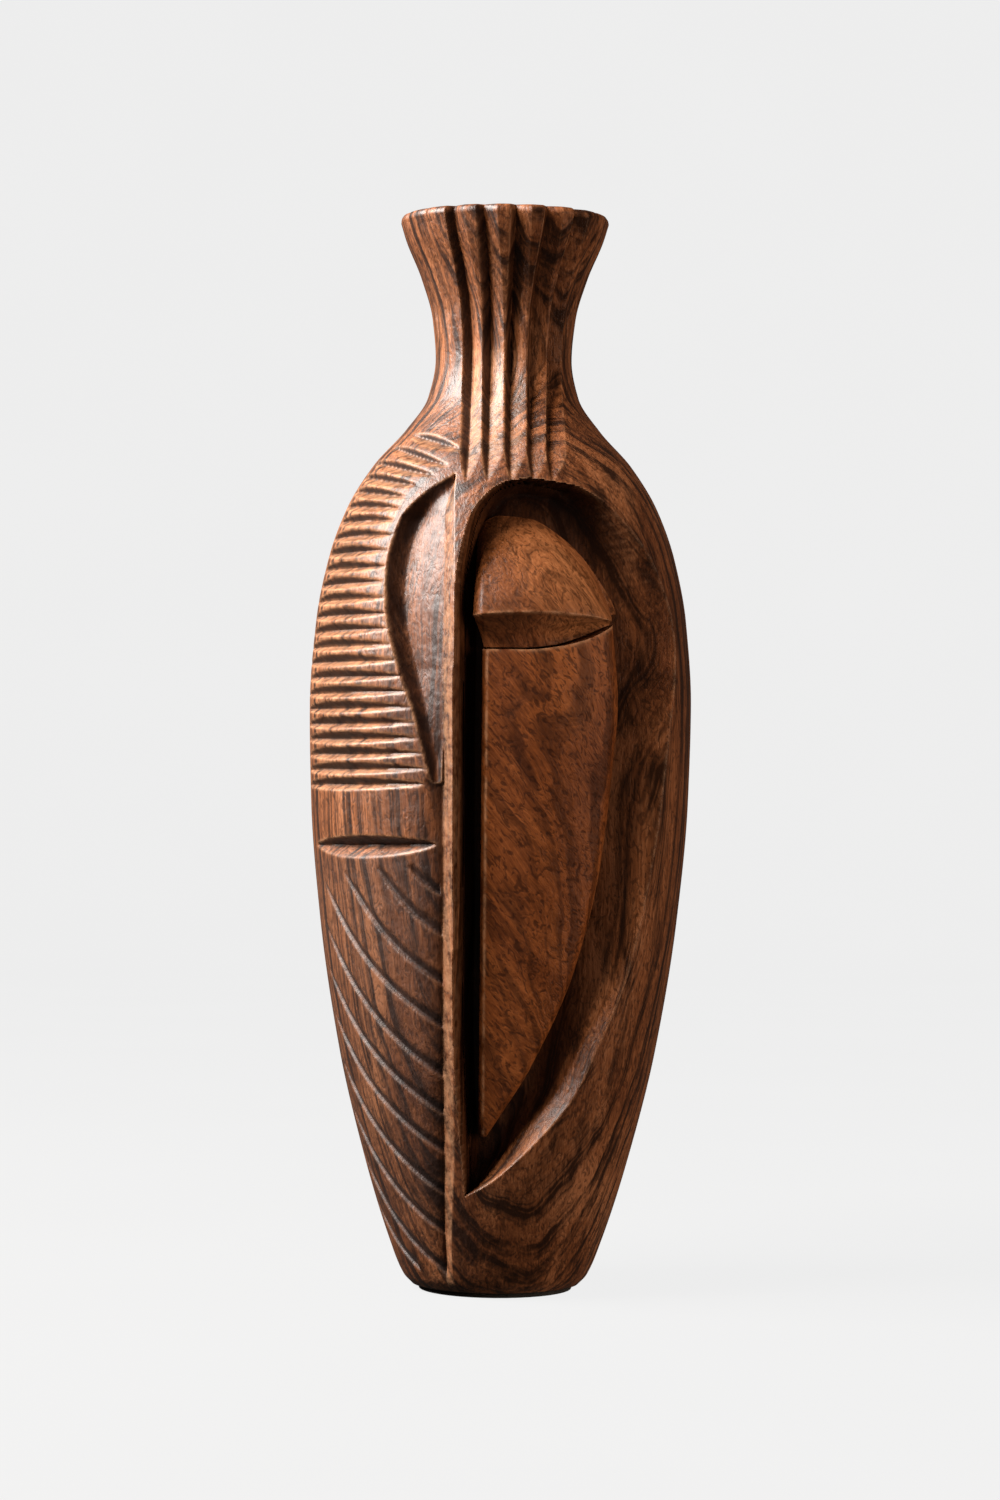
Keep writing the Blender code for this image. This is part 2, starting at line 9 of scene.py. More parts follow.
import bpy
import numpy as np
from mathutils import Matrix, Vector


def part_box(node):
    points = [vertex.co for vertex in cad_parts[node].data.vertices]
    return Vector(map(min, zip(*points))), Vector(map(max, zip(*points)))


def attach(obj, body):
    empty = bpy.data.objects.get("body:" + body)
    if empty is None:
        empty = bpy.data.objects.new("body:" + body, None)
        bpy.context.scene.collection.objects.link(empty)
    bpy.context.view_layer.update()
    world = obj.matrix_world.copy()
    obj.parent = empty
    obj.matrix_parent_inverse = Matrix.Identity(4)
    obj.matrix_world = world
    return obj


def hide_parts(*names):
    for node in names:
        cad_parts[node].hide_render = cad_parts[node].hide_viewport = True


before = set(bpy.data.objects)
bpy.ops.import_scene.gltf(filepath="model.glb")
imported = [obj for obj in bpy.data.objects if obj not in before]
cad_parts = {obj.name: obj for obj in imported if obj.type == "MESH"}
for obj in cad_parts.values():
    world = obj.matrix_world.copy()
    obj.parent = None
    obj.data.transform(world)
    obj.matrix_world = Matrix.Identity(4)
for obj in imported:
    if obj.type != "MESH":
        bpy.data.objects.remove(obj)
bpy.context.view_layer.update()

MM = 0.001

# The turned body, as (height, radius).
FOOT_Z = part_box("carved_body")[0].z
OUTER_PROFILE = [
    (FOOT_Z, 0.0350), (0.0060, 0.0385), (0.0200, 0.0444), (0.0540, 0.0551), (0.1000, 0.0663),
    (0.1550, 0.0749), (0.2050, 0.0792), (0.2450, 0.0801), (0.2800, 0.0777), (0.3060, 0.0727),
    (0.3270, 0.0652), (0.3450, 0.0542), (0.3600, 0.0408), (0.3740, 0.0316), (0.3900, 0.0286),
    (0.4070, 0.0301), (0.4240, 0.0349), (0.4400, 0.0415), (0.4472, 0.0437),
]

# Over the lip, as (share of the way from the mouth to the outside, height).
LIP_ROUND = [(0.96, 0.4485), (0.86, 0.4495), (0.70, 0.4499), (0.30, 0.4499), (0.12, 0.4495), (0.03, 0.4486)]
MOUTH_RADIUS = 0.0372

# Down the hollow, as (radius, height), past the liner's seat in the neck and the plug's hole in the foot.
LINER_SEAT = [(0.0240, 0.4205), (0.0232, 0.4177), (0.0232, 0.4142), (0.0195, 0.4142), (0.0195, 0.3550)]
PLUG_HOLE = [(0.0265, 0.0126), (0.0305, 0.0126), (0.0305, FOOT_Z)]
HOLLOW = [
    (0.0360, 0.4465), (0.0325, 0.4400), (0.0262, 0.4260), *LINER_SEAT, (0.0300, 0.3000),
    (0.0375, 0.2700), (0.0400, 0.2500), (0.0420, 0.2000), (0.0405, 0.1600), (0.0360, 0.1200),
    (0.0315, 0.0800), (0.0270, 0.0500), *PLUG_HOLE,
]

# The body's grid of points: fine at the front and wide apart at the back.
ROW_STEP = 0.62 * MM
FRONT_STEP = math.radians(0.36)
BACK_STEP = math.radians(2.5)
FRONT_REACH = math.radians(94)
CREST_HOME_Z = 0.2060
CREST_PULL = math.radians(32)

# Flutes of the neck.
FLUTE_COUNT = 19
FLUTE_PHASE = math.radians(6.5)
FLUTE_DEPTH = 3.8 * MM
FLUTE_TANS = (0.70, 1.65)
SIDE_FLUTE_DEPTH = 0.8 * MM
SIDE_FLUTE_TANS = (3.2, 3.6)
WAIST_Z = 0.392
FRONT_FLUTE_END_Z = 0.3350
FRONT_FLUTE_REACH = math.radians(50)
SIDE_FLUTE_END_Z = 0.3960
FLUTE_RUNOUT = 12 * MM
FLUTE_RUNOUT_SHAPE = 0.7
# The left wall of each flute on the face is darkened with painted shade, as it faces away from the key light.
FLUTE_SHADE = 0.8
FLUTE_SHADE_SHARE = 0.3

# A rib or slit is fully darkened by painted shade, and a vein by painted shade and stain, from this share of its
# depth, and all cuts are a little softened.
DARKENING_SHARE = 0.25
CUT_SOFTENING = 0.4

# Ribbed band, as (rib, left angle, left height, right angle, right height).
RIB_COUNT = 24
RIB_STATIONS = [
    (0, -80.0, 0.2107, -21.5, 0.2120), (5, -81.0, 0.2422, -26.8, 0.2428),
    (8, -83.0, 0.2615, -32.5, 0.2618), (11, -81.0, 0.2806, -38.2, 0.2809),
    (14, -81.5, 0.3004, -40.6, 0.3000), (17, -78.4, 0.3205, -40.4, 0.3190),
    (19, -77.4, 0.3337, -38.4, 0.3285), (20, -75.4, 0.3397, -34.5, 0.3330),
    (21, -70.0, 0.3455, -29.0, 0.3372), (22, -61.0, 0.3514, -24.5, 0.3412),
    (23, -50.0, 0.3560, -21.0, 0.3482),
]
RIB_DEPTH = 3.5 * MM
RIB_TANS = (0.60, 0.88)
RIB_OVERRUN = (-8.0, 3.0)

# The closed eye, and the leaf veins below it, as (left angle, left height, right angle, right height).
SLIT = (-77.0, 0.1860, -15.5, 0.1880)
SLIT_DEPTH = 6.2 * MM
SLIT_TANS = (0.85, 0.60)
VEINS = [
    (-28.0, 0.1786, -18.9, 0.1686), (-39.8, 0.1782, -18.9, 0.1521), (-55.7, 0.1763, -20.0, 0.1330),
    (-71.2, 0.1728, -20.0, 0.1147), (-73.7, 0.1546, -21.4, 0.0947), (-78.0, 0.1374, -22.4, 0.0792),
    (-80.0, 0.1190, -23.5, 0.0630), (-82.0, 0.1000, -26.1, 0.0458), (-84.0, 0.0800, -28.9, 0.0290),
    (-84.0, 0.0580, -32.8, 0.0125), (-84.0, 0.0370, -52.0, 0.0125),
]
VEIN_DEPTH = 1.5 * MM
VEIN_TANS = (0.60, 2.30)
VEIN_BOW = 0.10
VEIN_OVERRUN = 0.08
VEIN_START_SLOPE = 5
VEIN_START_SHAPE = 0.6
# Veins are darkened down their whole groove: painted shade in the crease, and stain.
VEIN_SHADE_AND_STAIN = 0.95

# The nose, as (height, angle of its crest) and as (height, width or depth of its left flank).
CREST_ANGLE = [
    (0.0100, -25.3), (0.0640, -17.1), (0.1250, -14.7), (0.2060, -13.5), (0.2700, -13.9), (0.3060, -15.2),
    (0.3380, -18.7),
]
FLANK_WIDTH = [
    (0.0100, 3.6 * MM), (0.0640, 5.4 * MM), (0.1860, 5.2 * MM), (0.2600, 5.6 * MM), (0.3200, 5.4 * MM),
    (0.3380, 0.8 * MM),
]
FLANK_DEPTH = [(0.0100, 2.4 * MM), (0.1860, 2.6 * MM), (0.2300, 4.0 * MM), (0.3380, 4.0 * MM)]
FLANK_FADE_Z = (0.0060, 0.0160)
# The nose's left facet is made paler, and the lit walls of flutes and ribs get a painted highlight, by this much.
FACET_AND_HIGHLIGHT_PALING = 0.55

# The panel between the closed eye and the foot rolls over into the nose, and it is darker than the rest.
PANEL_TOP_Z = 0.1860
PANEL_ROUND = 11.0 * MM
PANEL_BLEND = 8 * MM
PANEL_LEFT_ANGLE = -100
# Where the panel rolls over into the nose it is darkened with painted shade.
PANEL_EDGE_SHADE = 0.5
PANEL_STAIN = 0.45
PANEL_STAIN_LOW_Z = (0.012, 0.040)
PANEL_STAIN_FADE = 6 * MM
PANEL_WEAR_LOSS = 0.8

# The scooped left eye, as (height, angle of its left edge) and as (height, width of its wall).
SCOOP_LEFT = [
    (0.2125, -20.6), (0.2219, -22.4), (0.2420, -26.6), (0.2621, -32.6), (0.2824, -37.5), (0.3029, -39.4),
    (0.3193, -37.5), (0.3307, -29.7), (0.3380, -19.4),
]
SCOOP_WALL = [(0.2125, 0.0034), (0.2500, 0.0050), (0.2900, 0.0056), (0.3150, 0.0068), (0.3380, 0.0050)]
SCOOP_Z = (0.2128, 0.3376)
SCOOP_POINTS = 70
SCOOP_DEPTH = 8.0 * MM
SCOOP_SHAPE = 0.9
SCOOP_FULL_SPAN = 19 * MM
SCOOP_TIP_Z = 0.2350
SCOOP_TIP_WIDENING = 3.8 * MM
# The scoop's wall is darkened, most at its edge, with painted shade.
SCOOP_SHADE = 0.95
SCOOP_SHADE_START = 0.05
FLANK_JOIN_Z = (SCOOP_Z[0] - 2 * MM, SCOOP_Z[0] + 4 * MM)

# The recess of the right half, as (height, angle) up its left and right edges and (height, width) of its cove.
RECESS_Z = (0.0443, 0.3362)
RECESS_POINTS = 90
RECESS_LEFT = [
    (0.0441, -13.9), (0.1050, -15.2), (0.1660, -13.9), (0.2640, -13.8), (0.2947, -14.2), (0.3090, -12.9),
    (0.3208, -10.7), (0.3283, -6.6), (0.3342, 0.6), (0.3363, 10.6),
]
RECESS_RIGHT = [
    (0.0441, -13.9), (0.0503, -2.1), (0.0694, 18.2), (0.0844, 29.4), (0.1030, 36.9), (0.1362, 47.4),
    (0.1786, 53.9), (0.2339, 60.4), (0.2720, 66.0), (0.2993, 59.4), (0.3206, 45.7), (0.3330, 30.9),
    (0.3363, 10.6),
]
COVE_WIDTH = [
    (0.0441, 0.006), (0.0694, 0.013), (0.1030, 0.021), (0.2000, 0.024), (0.2900, 0.024), (0.3206, 0.014),
    (0.3330, 0.006), (0.3363, 0.003),
]
RECESS_DEPTH_RATIO = 0.30
STEEP_WALL = 1.5 * MM
# The recess is darkened beside the nose, under its roof and on its deep floor with painted shade.
SHADED_WALL = 6 * MM
WALL_SHADE = 0.6
ROOF_SHADE = 0.85
ROOF_SHADE_Z = (0.2950, 0.3300)
ROOF_LEAST_SHARE = 0.2
FLOOR_SHADE = 0.65
FLOOR_SHARE = (0.55, 1.0)
SOFTENED_SHARE = (0.60, 0.95)
SOFTENED_CELLS = 7

# Wear: how far an arris must stand out to be fully rubbed, and where wear is weaker. The lit walls of flutes and
# ribs get a painted highlight: how deep a flute or rib has to be for it to be full, and the angles over which it
# fades out away from the key light.
FULL_WEAR_HEIGHT = 0.22 * MM
WEAR_DEPTH_LIMIT = 8 * MM
NOSE_WALL_WEAR_LOSS = 0.8
RECESS_RIM_WEAR_LOSS = 0.6
HIGHLIGHT_CUT_DEPTH = 0.7 * MM
HIGHLIGHT_FADE_ANGLE = (-0.15, 0.45)

# The right eye's line, as (angle, height), with the brow above it and the cheek below.
EYE_LINE = [(-10.0, 0.2675), (8.0, 0.2675), (20.0, 0.2689), (31.3, 0.2724), (40.4, 0.2770), (47.0, 0.2792)]
EYE_BASE_Z = 0.2675
EYE_GAP = 0.9 * MM
BLOCK_CLEARANCE = 1.4 * MM

# The cheek, in distances across the face.
CHEEK_LEFT_X = -0.0074
CHEEK_ARRIS_X = -0.0056
CHEEK_CHAMFER = 1.3
CHEEK_RIGHT = [
    (0.0685, -0.0040), (0.0800, 0.0034), (0.0964, 0.0134), (0.1372, 0.0313), (0.1779, 0.0411),
    (0.2185, 0.0460), (0.2400, 0.0479), (0.2780, 0.0452),
]
CHEEK_LIFT_Z = 0.200
CHEEK_FACE_RATIO = 0.115
CHEEK_ROUND = 3.5 * MM
# The pale line on the cheek's left arris is wear and a painted highlight of its lit chamfer.
CHEEK_ARRIS_WEAR_AND_HIGHLIGHT = 0.5 * MM
CHEEK_TOP_WEAR = 0.8 * MM

# The brow, in distances across the face.
BROW_LEFT_X = -0.0114
BROW_TOP_LEFT_X = -0.0098
BROW_FOOT_LEFT_X = -0.0078
BROW_RIGHT_X = 0.0450
BROW_EDGE_Z = [(-0.0120, 0.2803), (0.0000, 0.2812), (0.0156, 0.2816), (0.0359, 0.2806), (0.0452, 0.2790)]
BROW_DOME_Z = [
    (-0.0120, 0.3080), (-0.0090, 0.3175), (-0.0009, 0.3214), (0.0113, 0.3203), (0.0235, 0.3136),
    (0.0358, 0.3017), (0.0433, 0.2876), (0.0452, 0.2815),
]
BROW_EDGE_DEPTH = [(-0.0120, 0.0094), (-0.0074, 0.0050), (0.0150, 0.0050), (0.0350, 0.0072), (0.0452, 0.0092)]
BROW_STEP = 3.0 * MM
BROW_LEAST_THICKNESS = 1.5 * MM
BROW_UNDERCUT = 9.5 * MM
BROW_UNDERCUT_SHARE = 0.3
BROW_SAG = 1.6
BROW_ARRIS_WEAR = 0.012

# The zinc liner, with the flare of its mouth as (outward, below the top).
LINER_RADIUS = 18.0 * MM
LINER_WALL = 0.8 * MM
LINER_CORNER = 3.0 * MM
LINER_CORNER_START = 0.15
LINER_FLARE = [(0.3 * MM, 0.5 * MM), (0.9 * MM, 0.0)]
LINER_LIP_HEIGHT = 2.4 * MM
LINER_LIP_ROUND = 1.0 * MM
LINER_LIP_CHAMFER = 0.6 * MM
LINER_NECK_CHAMFER = 0.3 * MM

# The woods: dark streaks, then brown, mid and light.
BODY_TONES = [(0.010, 0.003, 0.001), (0.055, 0.016, 0.005), (0.115, 0.037, 0.012), (0.200, 0.076, 0.031)]
BROW_TONES = [(0.018, 0.005, 0.001), (0.085, 0.025, 0.007), (0.145, 0.047, 0.015), (0.230, 0.084, 0.030)]
CHEEK_TONES = [(0.012, 0.003, 0.001), (0.070, 0.018, 0.004), (0.125, 0.034, 0.008), (0.190, 0.056, 0.014)]
DOWEL_TONES = [(0.200, 0.110, 0.050), (0.380, 0.250, 0.130), (0.500, 0.350, 0.200), (0.620, 0.470, 0.300)]
# The worn tone pales rubbed arrises and painted highlights. The stain tone is painted shade in cuts, hollows and
# walls turned from the key light, with the stain of the veins and the panel's darker wood.
WORN_AND_HIGHLIGHT_TONE = (0.390, 0.195, 0.100, 1.0)
WORN_AND_HIGHLIGHT_COVER = 0.60
SHADE_AND_STAIN_TONE = (0.007, 0.002, 0.001, 1.0)
SHADE_AND_STAIN_COVER = 0.92
SHADE_AND_STAIN_MATTNESS = 0.12
SATIN = (0.38, 0.58)
WOOD_IOR = 1.45
BLACK = (0, 0, 0)
WHITE = (1, 1, 1)

# The studio: a floor that curves up into a wall.
FLOOR_RADIUS = 2.2
SWEEP_RADIUS = 0.8
WALL_HEIGHT = 3.5
STUDIO_HEIGHT = 4.5
STUDIO_GLOW = 0.975
LIGHT_AIM = Vector((0.0, 0.0, 0.22))
CAMERA_PLACE = (0.0, -1.578, 0.226)
CAMERA_ROLL = math.radians(-0.54)

TURN_STEPS = 96
MERGE_DISTANCE = 0.01 * MM
QUARTER = math.pi / 2


def smooth_through(stations):
    """A smooth function through (x, y) stations that never overshoots between them."""
    xs, ys = (np.array(values, float) for values in zip(*stations))
    rises = np.diff(ys) / np.diff(xs)
    before, after = rises[:-1], rises[1:]
    total = np.where(before + after == 0, 1.0, before + after)
    inner = np.where(before * after > 0, 2 * before * after / total, 0.0)
    slopes = np.concatenate(([rises[0]], inner, [rises[-1]]))

    def value(x):
        x = np.clip(x, xs[0], xs[-1])
        i = np.clip(np.searchsorted(xs, x, side="right") - 1, 0, len(xs) - 2)
        span = xs[i + 1] - xs[i]
        t = (x - xs[i]) / span
        return (
            (1 + 2 * t) * (1 - t) ** 2 * ys[i]
            + t * (1 - t) ** 2 * span * slopes[i]
            + t * t * (3 - 2 * t) * ys[i + 1]
            + t * t * (t - 1) * span * slopes[i + 1]
        )

    return value


outer_radius = smooth_through(OUTER_PROFILE)
crest_angle = smooth_through(CREST_ANGLE)
flank_width = smooth_through(FLANK_WIDTH)
flank_depth = smooth_through(FLANK_DEPTH)
scoop_left = smooth_through(SCOOP_LEFT)
scoop_wall = smooth_through(SCOOP_WALL)
recess_left = smooth_through(RECESS_LEFT)
recess_right = smooth_through(RECESS_RIGHT)
cove_width = smooth_through(COVE_WIDTH)
cheek_right = smooth_through(CHEEK_RIGHT)
eye_line = smooth_through(EYE_LINE)
brow_edge_z = smooth_through(BROW_EDGE_Z)
brow_dome_z = smooth_through(BROW_DOME_Z)
brow_edge_depth = smooth_through(BROW_EDGE_DEPTH)


def smoothstep(low, high, x):
    """0 below low, 1 above high, and an S curve between them."""
    t = np.clip((x - low) / (high - low), 0.0, 1.0)
    return t * t * (3 - 2 * t)


def on_surface(angle, z, depth=0.0):
    """Points at these angles and heights, this far below the turned surface, measured level."""
    radius = outer_radius(z) - depth
    return np.stack(np.broadcast_arrays(radius * np.sin(angle), -radius * np.cos(angle), z), axis=-1)


def distance_share(points, outline, widths):
    """For each point the least of its distance to a piece of the outline over the width there."""
    least = np.full(points.shape[:-1], np.inf)
    for start, end, width in zip(outline, outline[1:], widths):
        along = end - start
        offset = points - start
        t = np.clip(offset @ along / max(along @ along, 1e-12), 0.0, 1.0)
        distance = np.linalg.norm(offset - t[..., None] * along, axis=-1)
        least = np.minimum(least, distance / width)
    return least


def recess_outline():
    """The recess's edge and the width of its wall, up the left side, then down the right."""
    heights = np.linspace(*RECESS_Z, RECESS_POINTS)
    left = on_surface(np.radians(recess_left(heights)), heights)
    right = on_surface(np.radians(recess_right(heights)), heights)[::-1]
    widths = np.concatenate((np.full(len(heights), STEEP_WALL), cove_width(heights)[::-1]))
    return np.concatenate((left, right)), widths


RECESS_OUTLINE, RECESS_WIDTHS = recess_outline()


def recess_depth(angle, z):
    """How deep the recess is cut: steep at its left, and a wide cove at its right and bottom."""
    share = distance_share(on_surface(angle, z), RECESS_OUTLINE, RECESS_WIDTHS)
    return RECESS_DEPTH_RATIO * outer_radius(z) * np.sin(QUARTER * np.minimum(share, 1.0))


def v_cut(across, depth, tans):
    """Depth of a V cut at this distance across it; tans open its negative and positive sides."""
    low_tan, high_tan = tans
    return np.maximum(depth - np.where(across < 0, -across / low_tan, across / high_tan), 0.0)


def flute_cut(angle, z, turn, end_z, most, tans):
    """One flute, which runs up from end_z at this turn: the distance across it and its depth."""
    offset = (angle - turn + math.pi) % (2 * math.pi) - math.pi
    across = outer_radius(z) * offset
    full = most * np.clip((z - end_z) / FLUTE_RUNOUT, 0.0, 1.0) ** FLUTE_RUNOUT_SHAPE
    return across, np.where(z > end_z, v_cut(across, full, tans), 0.0)


def flutes(angle, z):
    """V cuts all round the neck, deep on the face and shallow beside it. Painted shade lies on the left walls of
    those on the face, which face away from the key light.
    """
    depth = np.zeros(angle.shape)
    shade_and_stain = np.zeros(angle.shape)
    for i in range(FLUTE_COUNT):
        middle = (FLUTE_PHASE + 2 * math.pi * i / FLUTE_COUNT + math.pi) % (2 * math.pi) - math.pi
        if abs(middle) >= FRONT_FLUTE_REACH:
            _, cut = flute_cut(angle, z, middle, SIDE_FLUTE_END_Z, SIDE_FLUTE_DEPTH, SIDE_FLUTE_TANS)
            depth = np.maximum(depth, cut)
            continue
        # Below the waist a flute of the face keeps its distance across the face.
        level = outer_radius(WAIST_Z) * math.sin(middle)
        turn = np.where(z < WAIST_Z, np.arcsin(level / outer_radius(np.minimum(z, WAIST_Z))), middle)
        across, cut = flute_cut(angle, z, turn, FRONT_FLUTE_END_Z, FLUTE_DEPTH, FLUTE_TANS)
        depth = np.maximum(depth, cut)
        # Painted shade on the flute's left wall.
        dark = FLUTE_SHADE * np.clip(cut / (FLUTE_SHADE_SHARE * FLUTE_DEPTH), 0.0, 1.0)
        shade_and_stain = np.maximum(shade_and_stain, np.where(across < 0, dark, 0.0))
    return depth, shade_and_stain


def lens(angle, z, left_angle, left_z, right_angle, right_z, full, tans):
    """A cut from end to end, deepest in the middle and pointed at both ends.

    tans open its lower and upper sides, and painted shade lies on its upper side, which faces down.
    """
    t = (np.degrees(angle) - left_angle) / (right_angle - left_angle)
    depth = full * np.maximum(1 - (2 * t - 1) ** 2, 0.0)
    above = z - left_z - (right_z - left_z) * t
    cut = np.where((t > 0) & (t < 1), v_cut(above, depth, tans), 0.0)
    return cut, np.where(above > 0, np.clip(cut / (DARKENING_SHARE * full), 0.0, 1.0), 0.0)


def ribs(angle, z):
    """The ribbed band: a fan of cuts whose ends run smoothly through the stations."""
    numbers, *ends_by_number = zip(*RIB_STATIONS)
    stations = [smooth_through(list(zip(numbers, values))) for values in ends_by_number]
    depth = np.zeros(angle.shape)
    shade_and_stain = np.zeros(angle.shape)
    for rib in range(RIB_COUNT):
        left_angle, left_z, right_angle, right_z = (float(station(rib)) for station in stations)
        ends = (left_angle + RIB_OVERRUN[0], left_z, right_angle + RIB_OVERRUN[1], right_z)
        cut, dark = lens(angle, z, *ends, RIB_DEPTH, RIB_TANS)
        depth = np.maximum(depth, cut)
        shade_and_stain = np.maximum(shade_and_stain, dark)
    return depth, shade_and_stain


def veins(angle, z):
    """Curved cuts that slant down to the foot of the nose and stop there."""
    depth = np.zeros(angle.shape)
    panel = left_of_crest(angle, z) > flank_width(z)
    for left_angle, left_z, right_angle, right_z in VEINS:
        t = (np.degrees(angle) - left_angle) / (right_angle - left_angle)
        drop = (right_z - left_z) * (t + VEIN_BOW * np.sin(np.pi * t))
        run = math.radians(right_angle - left_angle) * outer_radius((left_z + right_z) / 2)
        slope = (right_z - left_z) / run
        across = (z - left_z - drop) / math.hypot(1.0, slope)
        full = VEIN_DEPTH * np.clip(VEIN_START_SLOPE * t, 0.0, 1.0) ** VEIN_START_SHAPE
        cut = v_cut(across, full, VEIN_TANS)
        depth = np.maximum(depth, np.where((t > 0) & (t < 1 + VEIN_OVERRUN) & panel, cut, 0.0))
    return depth


def left_of_crest(angle, z):
    """How far a point lies to the left of the nose's crest, along the surface."""
    return outer_radius(z) * (np.radians(crest_angle(z)) - angle)


def nose_flank(angle, z):
    """The left side of the nose, a facet that falls from the crest, and the panel that rolls over into it,
    darkened on the roll with painted shade.
    """
    away = left_of_crest(angle, z)
    width = flank_width(z)
    fade = smoothstep(*FLANK_FADE_Z, z)
    facet = np.clip(away / width, 0.0, 1.0)
    beyond = np.clip((away - width) / PANEL_ROUND, 0.0, 1.0)
    rolled = 1 - np.sqrt(1 - (1 - beyond) ** 2)
    flowing = (1 - beyond) ** 2
    blend = smoothstep(PANEL_TOP_Z, PANEL_TOP_Z + PANEL_BLEND, z)
    panel = rolled * (1 - blend) + flowing * blend
    panel = panel * (1 - smoothstep(*FLANK_JOIN_Z, z))
    depth = flank_depth(z) * np.where(away < width, facet, panel)
    depth = np.where((away > 0) & (z < SCOOP_Z[1]), depth * fade, 0.0)
    return depth, np.where(away > width, PANEL_EDGE_SHADE * rolled**2 * (1 - blend) * fade, 0.0)


def scoop(angle, z):
    """The hollow of the left eye: a wall at its left and top, and a floor that rises to the nose. Its wall is
    darkened with painted shade.
    """
    left = np.radians(scoop_left(z))
    right = np.radians(crest_angle(z))
    heights = np.linspace(*SCOOP_Z, SCOOP_POINTS)
    outline = on_surface(np.radians(scoop_left(heights)), heights)
    inside = (angle > left) & (angle < right) & (z > SCOOP_Z[0]) & (z < SCOOP_Z[1])
    wall = np.ones(angle.shape)
    share = distance_share(on_surface(angle[inside], z[inside]), outline, scoop_wall(heights))
    wall[inside] = np.minimum(share, 1.0)
    away = left_of_crest(angle, z)
    flank = flank_width(z) + SCOOP_TIP_WIDENING * (1 - smoothstep(SCOOP_Z[0], SCOOP_TIP_Z, z))
    span = np.maximum(outer_radius(z) * (right - left) - flank, 1.0 * MM)
    u = np.clip((away - flank) / span, 0.0, 1.0)
    fullness = np.minimum(1.0, span / SCOOP_FULL_SPAN)
    foot = flank_depth(z)
    floor = foot + (SCOOP_DEPTH * fullness - foot) * np.sin(QUARTER * u) ** SCOOP_SHAPE
    floor = np.where(away < flank, foot * away / flank, np.maximum(floor, foot))
    depth = np.where(inside, np.sin(QUARTER * wall) * floor, 0.0)
    return depth, np.where(inside & (u > SCOOP_SHADE_START), SCOOP_SHADE * (1 - wall**2), 0.0)


def recess(angle, z):
    """The deep hollow of the right half, its painted shade on the deep floor, under the roof and beside the nose,
    and where its steep wall stands beside the nose.
    """
    left = np.radians(recess_left(z))
    right = np.radians(recess_right(z))
    inside = (angle > left) & (angle < right) & (z > RECESS_Z[0]) & (z < RECESS_Z[1])
    depth = np.zeros(inside.shape)
    depth[inside] = recess_depth(angle[inside], z[inside])
    beside_nose = inside & (outer_radius(z) * (angle - left) < SHADED_WALL)

    # Painted shade on the deep floor, under the roof and beside the nose.
    share = depth / (RECESS_DEPTH_RATIO * outer_radius(z))
    floor = FLOOR_SHADE * smoothstep(*FLOOR_SHARE, share)
    roof = ROOF_SHADE * smoothstep(*ROOF_SHADE_Z, z) * (share > ROOF_LEAST_SHARE)
    shade_and_stain = np.maximum.reduce((floor, roof, WALL_SHADE * beside_nose))

    deep = smoothstep(*SOFTENED_SHARE, share)
    depth = depth * (1 - deep) + softened(depth, SOFTENED_CELLS) * deep
    return depth, shade_and_stain, beside_nose


def softened(field, reach):
    """The field averaged over a square of this many cells each way. It wraps round the vase."""
    total = field.copy()
    for shift in range(1, reach + 1):
        total += np.roll(field, shift, axis=1) + np.roll(field, -shift, axis=1)
    field = total / (2 * reach + 1)
    padded = np.pad(field, ((reach, reach), (0, 0)), mode="edge")
    return sum(padded[i:i + len(field)] for i in range(2 * reach + 1)) / (2 * reach + 1)


def cuts(angle, z):
    """All the carving but the recess: its depth, its painted shade with the stain of the veins, and the painted
    highlight on the lit walls of the flutes and ribs.
    """
    depth = np.zeros(angle.shape)
    shade_and_stain = np.zeros(angle.shape)
    pale = np.zeros(angle.shape)
    carvings = [carving(angle, z) for carving in (flutes, ribs, nose_flank, scoop)]
    for cut, dark in carvings[:2]:
        # The lit walls of the flutes and ribs, away from their shaded sides, get a painted highlight.
        lit = np.clip(cut / HIGHLIGHT_CUT_DEPTH, 0.0, 1.0) * (dark == 0) * (z < WAIST_Z)
        pale = np.maximum(pale, lit)
    carvings.append(lens(angle, z, *SLIT, SLIT_DEPTH, SLIT_TANS))
    for cut, dark in carvings:
        shade_and_stain = np.where(cut > depth, dark, shade_and_stain)
        depth = np.maximum(depth, cut)
    vein = veins(angle, z)
    depth = depth + vein
    # Painted shade and stain down the veins.
    dark = VEIN_SHADE_AND_STAIN * np.clip(vein / (DARKENING_SHARE * VEIN_DEPTH), 0.0, 1.0)
    depth = (1 - CUT_SOFTENING) * depth + CUT_SOFTENING * softened(depth, 1)
    return depth, np.maximum(shade_and_stain, dark), pale


